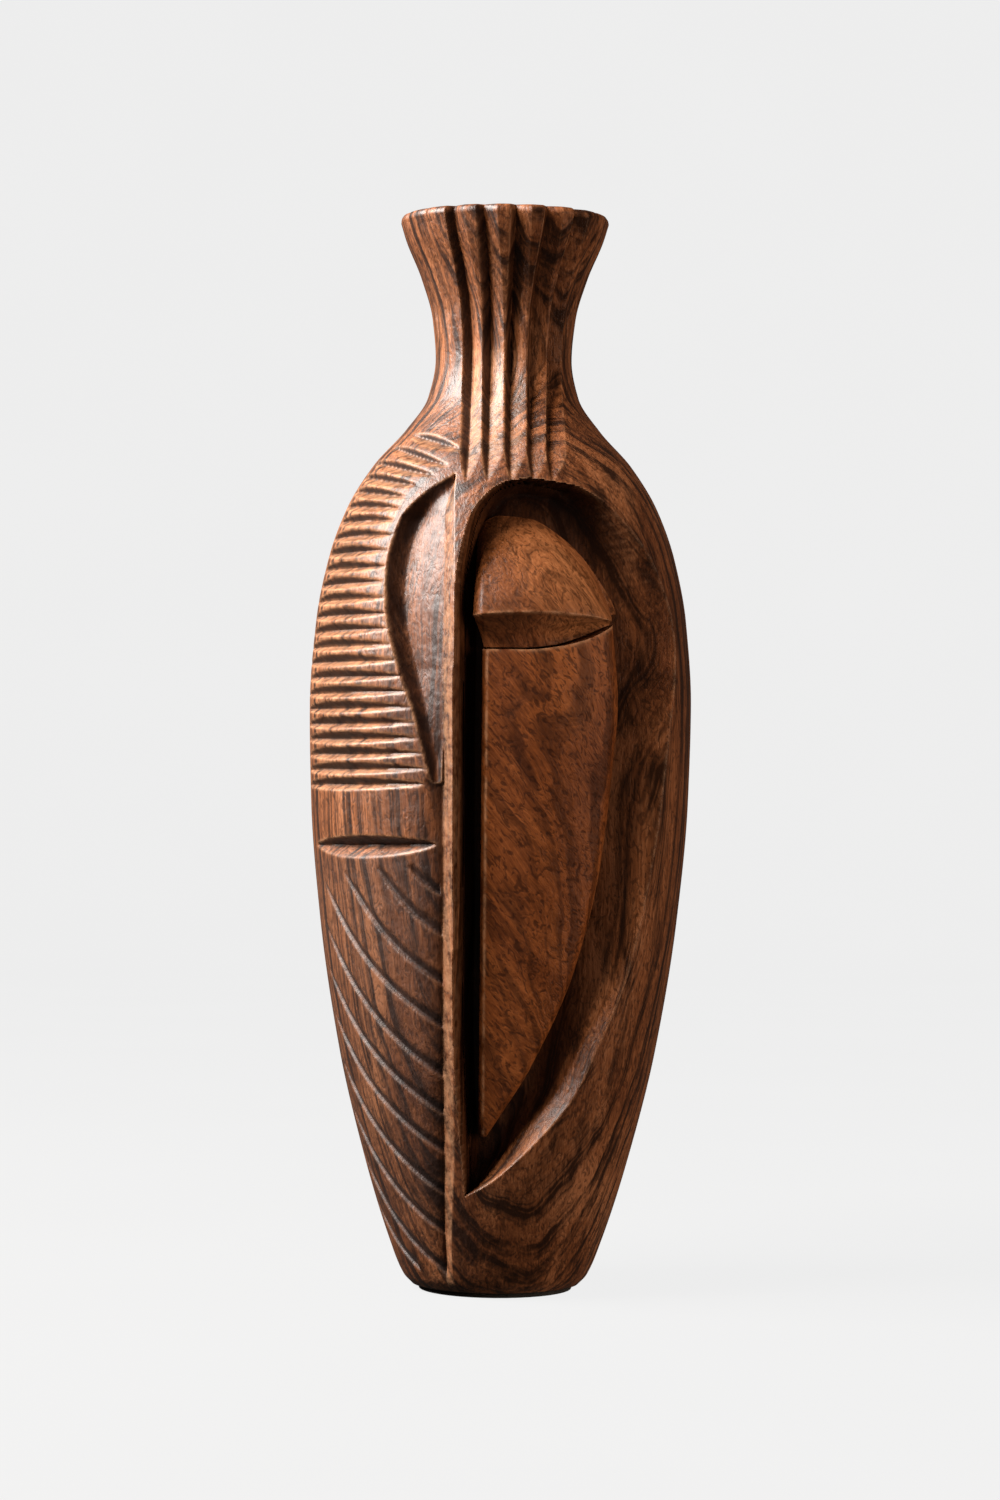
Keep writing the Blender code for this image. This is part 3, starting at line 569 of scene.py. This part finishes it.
def carved(angle, z):
    """The carving on a grid of points: its depth, the wear on its arrises with painted highlights on lit walls
    and the paler nose facet, and the painted shade in its cuts and hollows with the stain of the veins and the
    panel's darker wood.
    """
    depth, shade_and_stain, pale = cuts(angle, z)
    hollow, hollow_shade, beside_nose = recess(angle, z)
    depth = np.maximum(depth, hollow)

    away = left_of_crest(angle, z)
    panel = (away > flank_width(z)) & (np.degrees(angle) > PANEL_LEFT_ANGLE)
    panel = panel * (1 - smoothstep(PANEL_TOP_Z - PANEL_STAIN_FADE, PANEL_TOP_Z, z))
    panel_stain = PANEL_STAIN * panel * smoothstep(*PANEL_STAIN_LOW_Z, z)
    shade_and_stain = np.maximum.reduce((shade_and_stain, panel_stain, hollow_shade))

    near = softened(np.minimum(depth, WEAR_DEPTH_LIMIT), 1)
    rim = softened((hollow > 0).astype(float), 2) > 0
    wear_and_highlight = np.clip((near - depth) / FULL_WEAR_HEIGHT, 0.0, 1.0) * (1 - PANEL_WEAR_LOSS * panel)
    wear_and_highlight = wear_and_highlight * (1 - NOSE_WALL_WEAR_LOSS * beside_nose) * (1 - RECESS_RIM_WEAR_LOSS * rim)
    # The nose's left facet is made paler, and the lit walls of flutes and ribs get a painted highlight that fades
    # out away from the key light.
    facet = (away > 0) & (away < flank_width(z)) & (z < SCOOP_Z[1])
    pale = pale * (hollow == 0) * (1 - smoothstep(*HIGHLIGHT_FADE_ANGLE, angle))
    wear_and_highlight = np.maximum(wear_and_highlight, FACET_AND_HIGHLIGHT_PALING * softened(np.maximum(facet, pale), 1))
    return depth, wear_and_highlight, softened(shade_and_stain, 1)


def new_mesh_object(name, points, faces, attributes, sharp_angle=50):
    """A smooth-shaded object from points and quads, with float values per point for its material."""
    mesh = bpy.data.meshes.new(name)
    mesh.vertices.add(len(points))
    mesh.vertices.foreach_set("co", np.ascontiguousarray(points, np.float32).ravel())
    mesh.loops.add(faces.size)
    mesh.loops.foreach_set("vertex_index", faces.astype(np.int32).ravel())
    mesh.polygons.add(len(faces))
    mesh.polygons.foreach_set("loop_start", np.arange(0, faces.size, 4, dtype=np.int32))
    mesh.update(calc_edges=True)
    for label, values in attributes.items():
        layer = mesh.attributes.new(label, "FLOAT", "POINT")
        layer.data.foreach_set("value", np.ascontiguousarray(values, np.float32).ravel())
    mesh.shade_smooth()
    mesh.set_sharp_from_angle(angle=math.radians(sharp_angle))
    obj = bpy.data.objects.new(name, mesh)
    bpy.context.scene.collection.objects.link(obj)
    return obj


def grid_faces(rows, columns, close_rows=False, close_columns=False):
    """Quads of a grid of points, numbered row by row."""
    last_row = rows if close_rows else rows - 1
    last_column = columns if close_columns else columns - 1
    row, column = np.meshgrid(np.arange(last_row), np.arange(last_column), indexing="ij")
    next_column = (column + 1) % columns
    here, above = row * columns, (row + 1) % rows * columns
    quads = (here + column, here + next_column, above + next_column, above + column)
    return np.stack(quads, axis=-1).reshape(-1, 4)


def body_grid():
    """Angles and heights of the body's points. One column of them follows the crest of the nose."""
    front = np.linspace(-FRONT_REACH, FRONT_REACH, round(2 * FRONT_REACH / FRONT_STEP))
    crest = math.radians(float(crest_angle(CREST_HOME_Z)))
    front += crest - front[np.argmin(abs(front - crest))]
    back_span = 2 * math.pi - (front[-1] - front[0])
    back = front[-1] + np.linspace(0, back_span, round(back_span / BACK_STEP))[1:-1]
    columns = np.concatenate((front, back))[None, :]
    top_z = OUTER_PROFILE[-1][0]
    heights = np.linspace(FOOT_Z, top_z, round((top_z - FOOT_Z) / ROW_STEP))[:, None]
    nearness = np.exp(-(((columns - crest) / CREST_PULL) ** 2))
    angle = columns + (np.radians(crest_angle(heights)) - crest) * nearness
    return angle, np.broadcast_to(heights, angle.shape)


def vase_body():
    """The block from lip to foot, outside and inside, as one closed skin."""
    angle, z = body_grid()
    depth, wear_and_highlight, shade_and_stain = carved(angle, z)
    outside = outer_radius(z) - depth
    lip = [MOUTH_RADIUS + (outside[-1] - MOUTH_RADIUS) * share for share, _ in LIP_ROUND]
    hollow = [np.full(angle.shape[1], radius) for radius, _ in HOLLOW]
    radius = np.concatenate((outside, lip, hollow))
    height = np.concatenate((z[:, 0], [level for _, level in LIP_ROUND], [level for _, level in HOLLOW]))
    turns = np.concatenate((angle, np.repeat(angle[-1:], len(radius) - len(angle), axis=0)))
    height = np.broadcast_to(height[:, None], turns.shape)
    points = np.stack((radius * np.sin(turns), -radius * np.cos(turns), height), axis=-1)
    plain = np.zeros((len(radius) - len(angle), angle.shape[1]))
    looks = {"wear_and_highlight": np.concatenate((wear_and_highlight, plain)), "shade_and_stain": np.concatenate((shade_and_stain, plain))}
    faces = grid_faces(*radius.shape, close_rows=True, close_columns=True)
    return new_mesh_object("carved_vase_body", points.reshape(-1, 3), faces, looks)


def angle_across(x, z, depth):
    """The angle of the point this far across the face and below the turned surface."""
    return np.arcsin(np.clip(x / (outer_radius(z) - depth), -1.0, 1.0))


def relief_block(name, front, back, edge_wear_and_highlight):
    """A closed block between two carved faces, each an array of points [row, column]."""
    rows, columns, _ = front.shape
    ring = np.concatenate((front, back[:, ::-1]), axis=1)
    wrap = grid_faces(rows, 2 * columns, close_columns=True)
    strip = np.arange(columns - 1)
    ends = []
    for start, turn in ((0, 1), ((rows - 1) * 2 * columns, -1)):
        cap = np.stack((strip, 2 * columns - 1 - strip, 2 * columns - 2 - strip, strip + 1), axis=-1) + start
        ends.append(cap[:, ::turn])
    faces = np.concatenate((wrap, *ends))
    wear_and_highlight = np.concatenate((edge_wear_and_highlight, np.zeros((rows, columns))), axis=1)
    return new_mesh_object(name, ring.reshape(-1, 3), faces, {"wear_and_highlight": wear_and_highlight, "shade_and_stain": np.zeros(wear_and_highlight.shape)})


def mask_cheek(rows=170, columns=110):
    """The long cheek: a chamfer at its left, a soft round at its right, and a top that meets the eye."""
    v = np.linspace(0, 1, rows)[:, None]
    low, high = CHEEK_RIGHT[0][0], EYE_BASE_Z - EYE_GAP
    row = low + (high - low) * v
    right = cheek_right(row)
    u = np.linspace(0, 1, columns)[None, :]
    x = CHEEK_LEFT_X + (right - CHEEK_LEFT_X) * u
    depth = CHEEK_FACE_RATIO * outer_radius(row) + np.maximum(CHEEK_ARRIS_X - x, 0.0) * CHEEK_CHAMFER
    rounding = np.clip((CHEEK_ROUND - (right - x)) / CHEEK_ROUND, 0.0, 1.0)
    depth = depth + CHEEK_ROUND * (1 - np.sqrt(np.maximum(1 - rounding**2, 0.0)))
    angle = angle_across(x, row, depth)
    lift = np.clip((row - CHEEK_LIFT_Z) / (high - CHEEK_LIFT_Z), 0.0, 1.0) ** 2
    z = row + (eye_line(np.degrees(angle)) - EYE_BASE_Z) * lift
    front = on_surface(angle, z, depth)
    back = on_surface(angle, z, recess_depth(angle, z) - BLOCK_CLEARANCE)
    # The left arris is paled: wear, and a painted highlight of its lit chamfer.
    arris = np.exp(-((x - CHEEK_ARRIS_X) / CHEEK_ARRIS_WEAR_AND_HIGHLIGHT) ** 2)
    top = np.exp(-((high - row) / CHEEK_TOP_WEAR) ** 2)
    return relief_block("mask_cheek", front, back, np.clip(arris + top, 0.0, 1.0))


def mask_brow(rows=120, columns=130):
    """The domed brow, and below its edge the undercut over the eye."""
    v = np.linspace(0, 1, rows)[:, None]
    u = np.linspace(0, 1, columns)[None, :]
    down = np.maximum(0.0, 1 - v / BROW_UNDERCUT_SHARE)
    up = np.maximum(0.0, (v - BROW_UNDERCUT_SHARE) / (1 - BROW_UNDERCUT_SHARE))
    left = BROW_LEFT_X + (BROW_FOOT_LEFT_X - BROW_LEFT_X) * down + (BROW_TOP_LEFT_X - BROW_LEFT_X) * up
    x = left + (BROW_RIGHT_X - left) * u
    edge, dome = brow_edge_z(x), brow_dome_z(x)
    edge_depth = brow_edge_depth(x)
    opening = edge - eye_line(np.degrees(angle_across(x, edge, edge_depth)))
    z = np.where(down > 0, edge - opening * down, edge + (dome - edge) * up)
    under = BROW_UNDERCUT * np.sin(QUARTER * down) * np.minimum(1.0, opening / BROW_UNDERCUT)
    full = RECESS_DEPTH_RATIO * outer_radius(z) - BROW_STEP
    over = np.maximum(0.0, full - edge_depth) * up**BROW_SAG
    depth = edge_depth + np.where(down > 0, under, over)
    angle = np.where(down > 0, angle_across(x, edge, edge_depth), angle_across(x, z, depth))
    floor = recess_depth(angle, z) - BLOCK_CLEARANCE
    front = on_surface(angle, z, np.minimum(depth, floor - BROW_LEAST_THICKNESS))
    arris = np.exp(-((v - BROW_UNDERCUT_SHARE) / BROW_ARRIS_WEAR) ** 2) * np.ones(x.shape)
    return relief_block("mask_brow", front, on_surface(angle, z, floor), arris)


def arc(middle, radius, start, end, count):
    """Points (r, z) of an arc about its middle, from one turn to another in radians."""
    r, z = middle
    turns = np.linspace(start, end, count)
    return [(r + radius * math.cos(turn), z + radius * math.sin(turn)) for turn in turns]


def turned(name, outline):
    """An object turned round the upright axis from its outline, as (radius, height)."""
    mesh = bpy.data.meshes.new(name)
    mesh.from_pydata([(r, 0.0, z) for r, z in outline], [(i, i + 1) for i in range(len(outline) - 1)], [])
    obj = bpy.data.objects.new(name, mesh)
    bpy.context.scene.collection.objects.link(obj)
    screw = obj.modifiers.new("turn", "SCREW")
    screw.steps = screw.render_steps = TURN_STEPS
    screw.use_merge_vertices = True
    screw.merge_threshold = MERGE_DISTANCE
    screw.use_smooth_shade = True
    return obj


def liner_tube():
    """The zinc liner, as high and as wide as the CAD liner: up its inside, over its lip and down."""
    low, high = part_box("water_liner")
    inner, lip = LINER_RADIUS - LINER_WALL, high.x
    floor, under = low.z + LINER_WALL, high.z - LINER_LIP_HEIGHT
    outline = [(0.0, floor), (inner - LINER_CORNER, floor)]
    outline += arc((inner - LINER_CORNER, floor + LINER_CORNER), LINER_CORNER, LINER_CORNER_START - QUARTER, 0, 6)
    outline += [(inner, under)] + [(inner + out, high.z - down) for out, down in LINER_FLARE]
    outline += arc((lip - LINER_LIP_ROUND, high.z - LINER_LIP_ROUND), LINER_LIP_ROUND, QUARTER, 0, 5)
    outline += [(lip, under + LINER_LIP_CHAMFER), (lip - LINER_LIP_CHAMFER, under)]
    outline += [(LINER_RADIUS + LINER_NECK_CHAMFER, under), (LINER_RADIUS, under - LINER_NECK_CHAMFER)]
    outline += arc((LINER_RADIUS - LINER_CORNER, low.z + LINER_CORNER), LINER_CORNER, 0, -QUARTER, 6)
    outline += [(0.0, low.z)]
    return turned("liner_tube", outline)


class Look:
    """A material and short calls that add nodes to it."""

    def __init__(self, name):
        self.material = bpy.data.materials.new(name)
        self.material.use_nodes = True
        self.tree = self.material.node_tree
        self.shader = self.tree.nodes["Principled BSDF"]
        self.position = self.tree.nodes.new("ShaderNodeTexCoord").outputs["Object"]

    def feed(self, socket, value):
        """Links a socket to another one, or sets its plain value."""
        if isinstance(value, bpy.types.NodeSocket):
            self.tree.links.new(value, socket)
        else:
            socket.default_value = value

    def math(self, operation, a, b):
        node = self.tree.nodes.new("ShaderNodeMath")
        node.operation = operation
        self.feed(node.inputs[0], a)
        self.feed(node.inputs[1], b)
        return node.outputs[0]

    def shared(self, a, share, b):
        """This share of one value and the rest of another."""
        return self.math("ADD", self.math("MULTIPLY", a, share), self.math("MULTIPLY", b, 1 - share))

    def scaled(self, value, low, high):
        """A 0 to 1 value spread from low to high."""
        return self.math("ADD", self.math("MULTIPLY", value, high - low), low)

    def vector(self, operation, a, b=(0.0, 0.0, 0.0)):
        node = self.tree.nodes.new("ShaderNodeVectorMath")
        node.operation = operation
        self.feed(node.inputs[0], a)
        self.feed(node.inputs[1], b)
        return node.outputs["Value" if operation == "LENGTH" else "Vector"]

    def stretched(self, vector, x, y, z):
        """The vector times a factor for each axis."""
        return self.vector("MULTIPLY", vector, (x, y, z))

    def noise(self, vector, scale, detail=2.0, roughness=0.5, distortion=0.0):
        node = self.tree.nodes.new("ShaderNodeTexNoise")
        self.feed(node.inputs["Vector"], vector)
        node.inputs["Scale"].default_value = scale
        node.inputs["Detail"].default_value = detail
        node.inputs["Roughness"].default_value = roughness
        node.inputs["Distortion"].default_value = distortion
        return node

    def bands(self, distance, frequency, detail, roughness):
        """Irregular bands along a distance."""
        node = self.tree.nodes.new("ShaderNodeTexNoise")
        node.noise_dimensions = "1D"
        self.feed(node.inputs["W"], distance)
        node.inputs["Scale"].default_value = frequency
        node.inputs["Detail"].default_value = detail
        node.inputs["Roughness"].default_value = roughness
        return node.outputs["Fac"]

    def ramp(self, value, stops):
        """Colours by value, from stops of (value, colour)."""
        node = self.tree.nodes.new("ShaderNodeValToRGB")
        elements = node.color_ramp.elements
        while len(elements) < len(stops):
            elements.new(0.5)
        for element, (place, color) in zip(elements, stops):
            element.position = place
            element.color = (*color, 1.0)
        self.feed(node.inputs["Fac"], value)
        return node.outputs["Color"]

    def mix(self, factor, a, b):
        """From colour a at factor 0 to colour b at factor 1."""
        node = self.tree.nodes.new("ShaderNodeMix")
        node.data_type = "RGBA"
        self.feed(node.inputs[0], factor)
        self.feed(node.inputs[6], a)
        self.feed(node.inputs[7], b)
        return node.outputs[2]

    def attribute(self, name):
        node = self.tree.nodes.new("ShaderNodeAttribute")
        node.attribute_name = name
        return node.outputs["Fac"]

    def bump(self, height, distance, strength, normal=None):
        node = self.tree.nodes.new("ShaderNodeBump")
        node.inputs["Strength"].default_value = strength
        node.inputs["Distance"].default_value = distance
        self.feed(node.inputs["Height"], height)
        if normal:
            self.feed(node.inputs["Normal"], normal)
        return node.outputs["Normal"]


def wood(name, tilt, pith, tones, streaking=0.95, burl=0.45, warp=0.006, breadth=1.0):
    """Dark figured wood.

    tilt turns the fibres away from upright, and pith is a point on the axis of the growth layers.
    burl adds small curled flecks, warp bends the fibres, and breadth widens the streaks across the face.
    """
    look = Look(name)
    turned = look.tree.nodes.new("ShaderNodeVectorRotate")
    turned.rotation_type = "Y_AXIS"
    look.feed(turned.inputs["Vector"], look.position)
    turned.inputs["Angle"].default_value = math.radians(tilt)
    along = turned.outputs["Vector"]
    wander = look.noise(look.stretched(along, 1.0, 1.0, 0.4), 26.0, detail=3.0)
    shift = look.vector("SUBTRACT", wander.outputs["Color"], (0.5, 0.5, 0.5))
    grain = look.vector("ADD", along, look.stretched(shift, warp * 2, warp * 2, warp * 2))

    figure = look.noise(look.stretched(grain, 34.0, 34.0, 9.0), 1.0, detail=4.0, distortion=0.7)
    streaks = look.noise(look.stretched(grain, 170.0 / breadth, 170.0, 12.0), 1.0, detail=4.0, roughness=0.65)
    fibres = look.noise(look.stretched(grain, 1100.0, 1100.0, 55.0), 1.0, detail=2.0, roughness=0.6)
    curls = look.noise(look.stretched(grain, 1.0, 1.0, 0.45), 330.0, detail=2.0, distortion=2.2)
    from_pith = look.stretched(look.vector("SUBTRACT", grain, pith), 1.0, 1.0, 0.10)
    rings = look.bands(look.vector("LENGTH", from_pith), 280.0, detail=4.0, roughness=0.65)

    dark, brown, mid, light = tones
    tone = look.shared(figure.outputs["Fac"], 0.60, fibres.outputs["Fac"])
    color = look.ramp(tone, [(0.38, brown), (0.49, mid), (0.62, light)])
    lines = look.shared(streaks.outputs["Fac"], 0.45, rings)
    streak = look.ramp(lines, [(0.42, WHITE), (0.475, (0.55, 0.55, 0.55)), (0.54, BLACK)])
    color = look.mix(look.math("MULTIPLY", streak, streaking), color, (*dark, 1.0))
    fleck = look.ramp(curls.outputs["Fac"], [(0.38, WHITE), (0.47, BLACK)])
    color = look.mix(look.math("MULTIPLY", fleck, burl), color, (*dark, 1.0))

    # Painted shade and stain darken the colour, and worn arrises and painted highlights pale it.
    shade_and_stain, wear_and_highlight = look.attribute("shade_and_stain"), look.attribute("wear_and_highlight")
    color = look.mix(look.math("MULTIPLY", shade_and_stain, SHADE_AND_STAIN_COVER), color, SHADE_AND_STAIN_TONE)
    patch_noise = look.noise(look.position, 210.0, detail=3.0, roughness=0.7)
    patchy = look.ramp(patch_noise.outputs["Fac"], [(0.36, BLACK), (0.60, WHITE)])
    cover = look.math("MULTIPLY", look.math("MULTIPLY", wear_and_highlight, patchy), WORN_AND_HIGHLIGHT_COVER)
    look.feed(look.shader.inputs["Base Color"], look.mix(cover, color, WORN_AND_HIGHLIGHT_TONE))

    tooled = look.noise(look.position, 140.0, detail=2.0)
    normal = look.bump(tooled.outputs["Fac"], 1.2 * MM, 0.5)
    normal = look.bump(curls.outputs["Fac"], 0.4 * MM, 0.6, normal)
    normal = look.bump(fibres.outputs["Fac"], 0.2 * MM, 0.6, normal)
    look.feed(look.shader.inputs["Normal"], normal)
    satin = look.scaled(streaks.outputs["Fac"], *SATIN)
    matt = look.math("MULTIPLY", shade_and_stain, SHADE_AND_STAIN_MATTNESS)
    look.feed(look.shader.inputs["Roughness"], look.math("ADD", satin, matt))
    look.shader.inputs["IOR"].default_value = WOOD_IOR
    return look.material


def felt_look():
    """Dark felt, with fine fibres and a faint cloudiness."""
    look = Look("felt_look")
    fibres = look.noise(look.stretched(look.position, 1.0, 1.0, 3.0), 2200.0, detail=2.0, distortion=2.0)
    cloud = look.noise(look.position, 160.0, detail=2.0)
    both = look.shared(fibres.outputs["Fac"], 0.7, cloud.outputs["Fac"])
    color = look.ramp(both, [(0.3, (0.010, 0.009, 0.008)), (0.7, (0.040, 0.035, 0.031))])
    look.feed(look.shader.inputs["Base Color"], color)
    look.feed(look.shader.inputs["Roughness"], look.scaled(fibres.outputs["Fac"], 0.85, 1.0))
    look.feed(look.shader.inputs["Normal"], look.bump(fibres.outputs["Fac"], 0.4 * MM, 0.8))
    return look.material


def zinc_look():
    """Dull zinc sheet, with a faint spangle and fine lines from rolling."""
    look = Look("zinc_look")
    spangle = look.noise(look.position, 90.0, detail=3.0, roughness=0.6)
    drawn = look.noise(look.stretched(look.position, 60.0, 60.0, 1500.0), 1.0, detail=2.0)
    color = look.ramp(spangle.outputs["Fac"], [(0.3, (0.36, 0.37, 0.39)), (0.7, (0.60, 0.61, 0.62))])
    look.feed(look.shader.inputs["Base Color"], color)
    look.feed(look.shader.inputs["Roughness"], look.scaled(spangle.outputs["Fac"], 0.28, 0.52))
    look.feed(look.shader.inputs["Normal"], look.bump(drawn.outputs["Fac"], 0.1 * MM, 0.3))
    look.shader.inputs["Metallic"].default_value = 1.0
    return look.material


def studio_look():
    """A pale matt surface that keeps its tone, with a little of the light that falls on it."""
    look = Look("studio_pale")
    grain = look.noise(look.position, 6.0, detail=1.0)
    color = look.ramp(grain.outputs["Fac"], [(0.0, (0.86, 0.86, 0.86)), (1.0, (0.87, 0.87, 0.87))])
    look.feed(look.shader.inputs["Base Color"], (0.010, 0.010, 0.010, 1.0))
    look.feed(look.shader.inputs["Emission Color"], color)
    look.shader.inputs["Emission Strength"].default_value = STUDIO_GLOW
    look.shader.inputs["Roughness"].default_value = 1.0
    look.shader.inputs["Specular IOR Level"].default_value = 0.0
    return look.material


def dress(piece, body, slot, material, *replaced):
    """Gives a piece its material and its place in the frame."""
    piece.data.materials.append(material)
    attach(piece, body)
    if replaced:
        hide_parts(*replaced)


def dress_node(name, material):
    """Gives a CAD node that stays in view a finer material."""
    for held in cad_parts[name].material_slots:
        held.material = material


body_wood = wood("figured_wood", 3, (-0.05, 0.30, 0.0), BODY_TONES, burl=0.55, warp=0.006, breadth=1.8)
brow_wood = wood("burl_wood", 35, (0.10, 0.05, 0.30), BROW_TONES, streaking=0.45, burl=0.60, warp=0.012)
cheek_wood = wood("diagonal_wood", 38, (0.16, 0.06, 0.0), CHEEK_TONES, streaking=0.60, burl=0.65, warp=0.009)
dowel_wood = wood("dowel_wood_look", 0, (0.0, 0.1, 0.0), DOWEL_TONES, streaking=0.3, burl=0.0)
plug_wood = wood("plug_wood_look", 90, (0.05, 0.20, 0.0), BODY_TONES)

dress(vase_body(), "vessel", "body_wood", body_wood, "carved_body")
dress(mask_brow(), "vessel", "brow_wood", brow_wood, "brow_block")
dress(mask_cheek(), "vessel", "cheek_wood", cheek_wood, "cheek_block")
dress(liner_tube(), "liner", "zinc", zinc_look(), "water_liner")
for dowel in ("brow_dowel_upper", "brow_dowel_lower", "cheek_dowel_upper", "cheek_dowel_lower"):
    dress_node(dowel, dowel_wood)
dress_node("foot_plug", plug_wood)
dress_node("felt_disc", felt_look())


def studio():
    """A round floor that curves up into a wall, so every side of the vase stands before the same tone."""
    wall_radius = FLOOR_RADIUS + SWEEP_RADIUS
    outline = [(0.0, 0.0), (FLOOR_RADIUS, 0.0)]
    outline += arc((FLOOR_RADIUS, SWEEP_RADIUS), SWEEP_RADIUS, -QUARTER, 0, 13)[1:]
    outline += [(wall_radius, WALL_HEIGHT), (0.0, STUDIO_HEIGHT)]
    sweep = turned("studio_sweep", outline)
    sweep.data.materials.append(studio_look())
    sweep.visible_diffuse = False
    sweep.visible_glossy = False
    sweep.visible_shadow = False


def area_light(name, azimuth, elevation, distance, size, power, color, glints=True):
    """A soft light that looks at the vase's middle. Azimuth 0 is at the front, and positive on the right."""
    turn, rise = math.radians(azimuth), math.radians(elevation)
    away = Vector((math.sin(turn) * math.cos(rise), -math.cos(turn) * math.cos(rise), math.sin(rise)))
    data = bpy.data.lights.new(name, "AREA")
    data.shape = "RECTANGLE"
    data.size, data.size_y = size
    data.energy = power
    data.color = color
    light = bpy.data.objects.new(name, data)
    light.location = LIGHT_AIM + away * distance
    light.rotation_euler = away.to_track_quat("Z", "Y").to_euler()
    light.visible_camera = False
    light.visible_glossy = glints
    bpy.context.scene.collection.objects.link(light)


def lights():
    """A key from the left, a weaker window above it, a low fill on the right and a warm room."""
    area_light("key", -78, 38, 1.4, (0.8, 0.8), 98, (1.0, 0.96, 0.92))
    area_light("window", -50, 48, 1.7, (0.4, 0.4), 52, (1.0, 0.92, 0.84), glints=False)
    area_light("fill", 68, 4, 2.2, (1.8, 1.6), 60, (1.0, 0.86, 0.74), glints=False)
    world = bpy.data.worlds.new("studio_air")
    world.use_nodes = True
    background = world.node_tree.nodes["Background"]
    background.inputs["Color"].default_value = (1.0, 0.88, 0.76, 1.0)
    background.inputs["Strength"].default_value = 0.06
    bpy.context.scene.world = world


def camera():
    """The long lens looks level at the middle of the mask, with the slight roll of a hand-set tripod."""
    data = bpy.data.cameras.new("camera")
    data.lens = 90
    data.sensor_width = 36
    data.clip_start, data.clip_end = 0.1, 20
    obj = bpy.data.objects.new("camera", data)
    obj.location = CAMERA_PLACE
    obj.rotation_euler = (math.radians(90), CAMERA_ROLL, 0.0)
    bpy.context.scene.collection.objects.link(obj)
    bpy.context.scene.camera = obj


studio()
lights()
camera()
bpy.context.scene.view_settings.view_transform = "Standard"
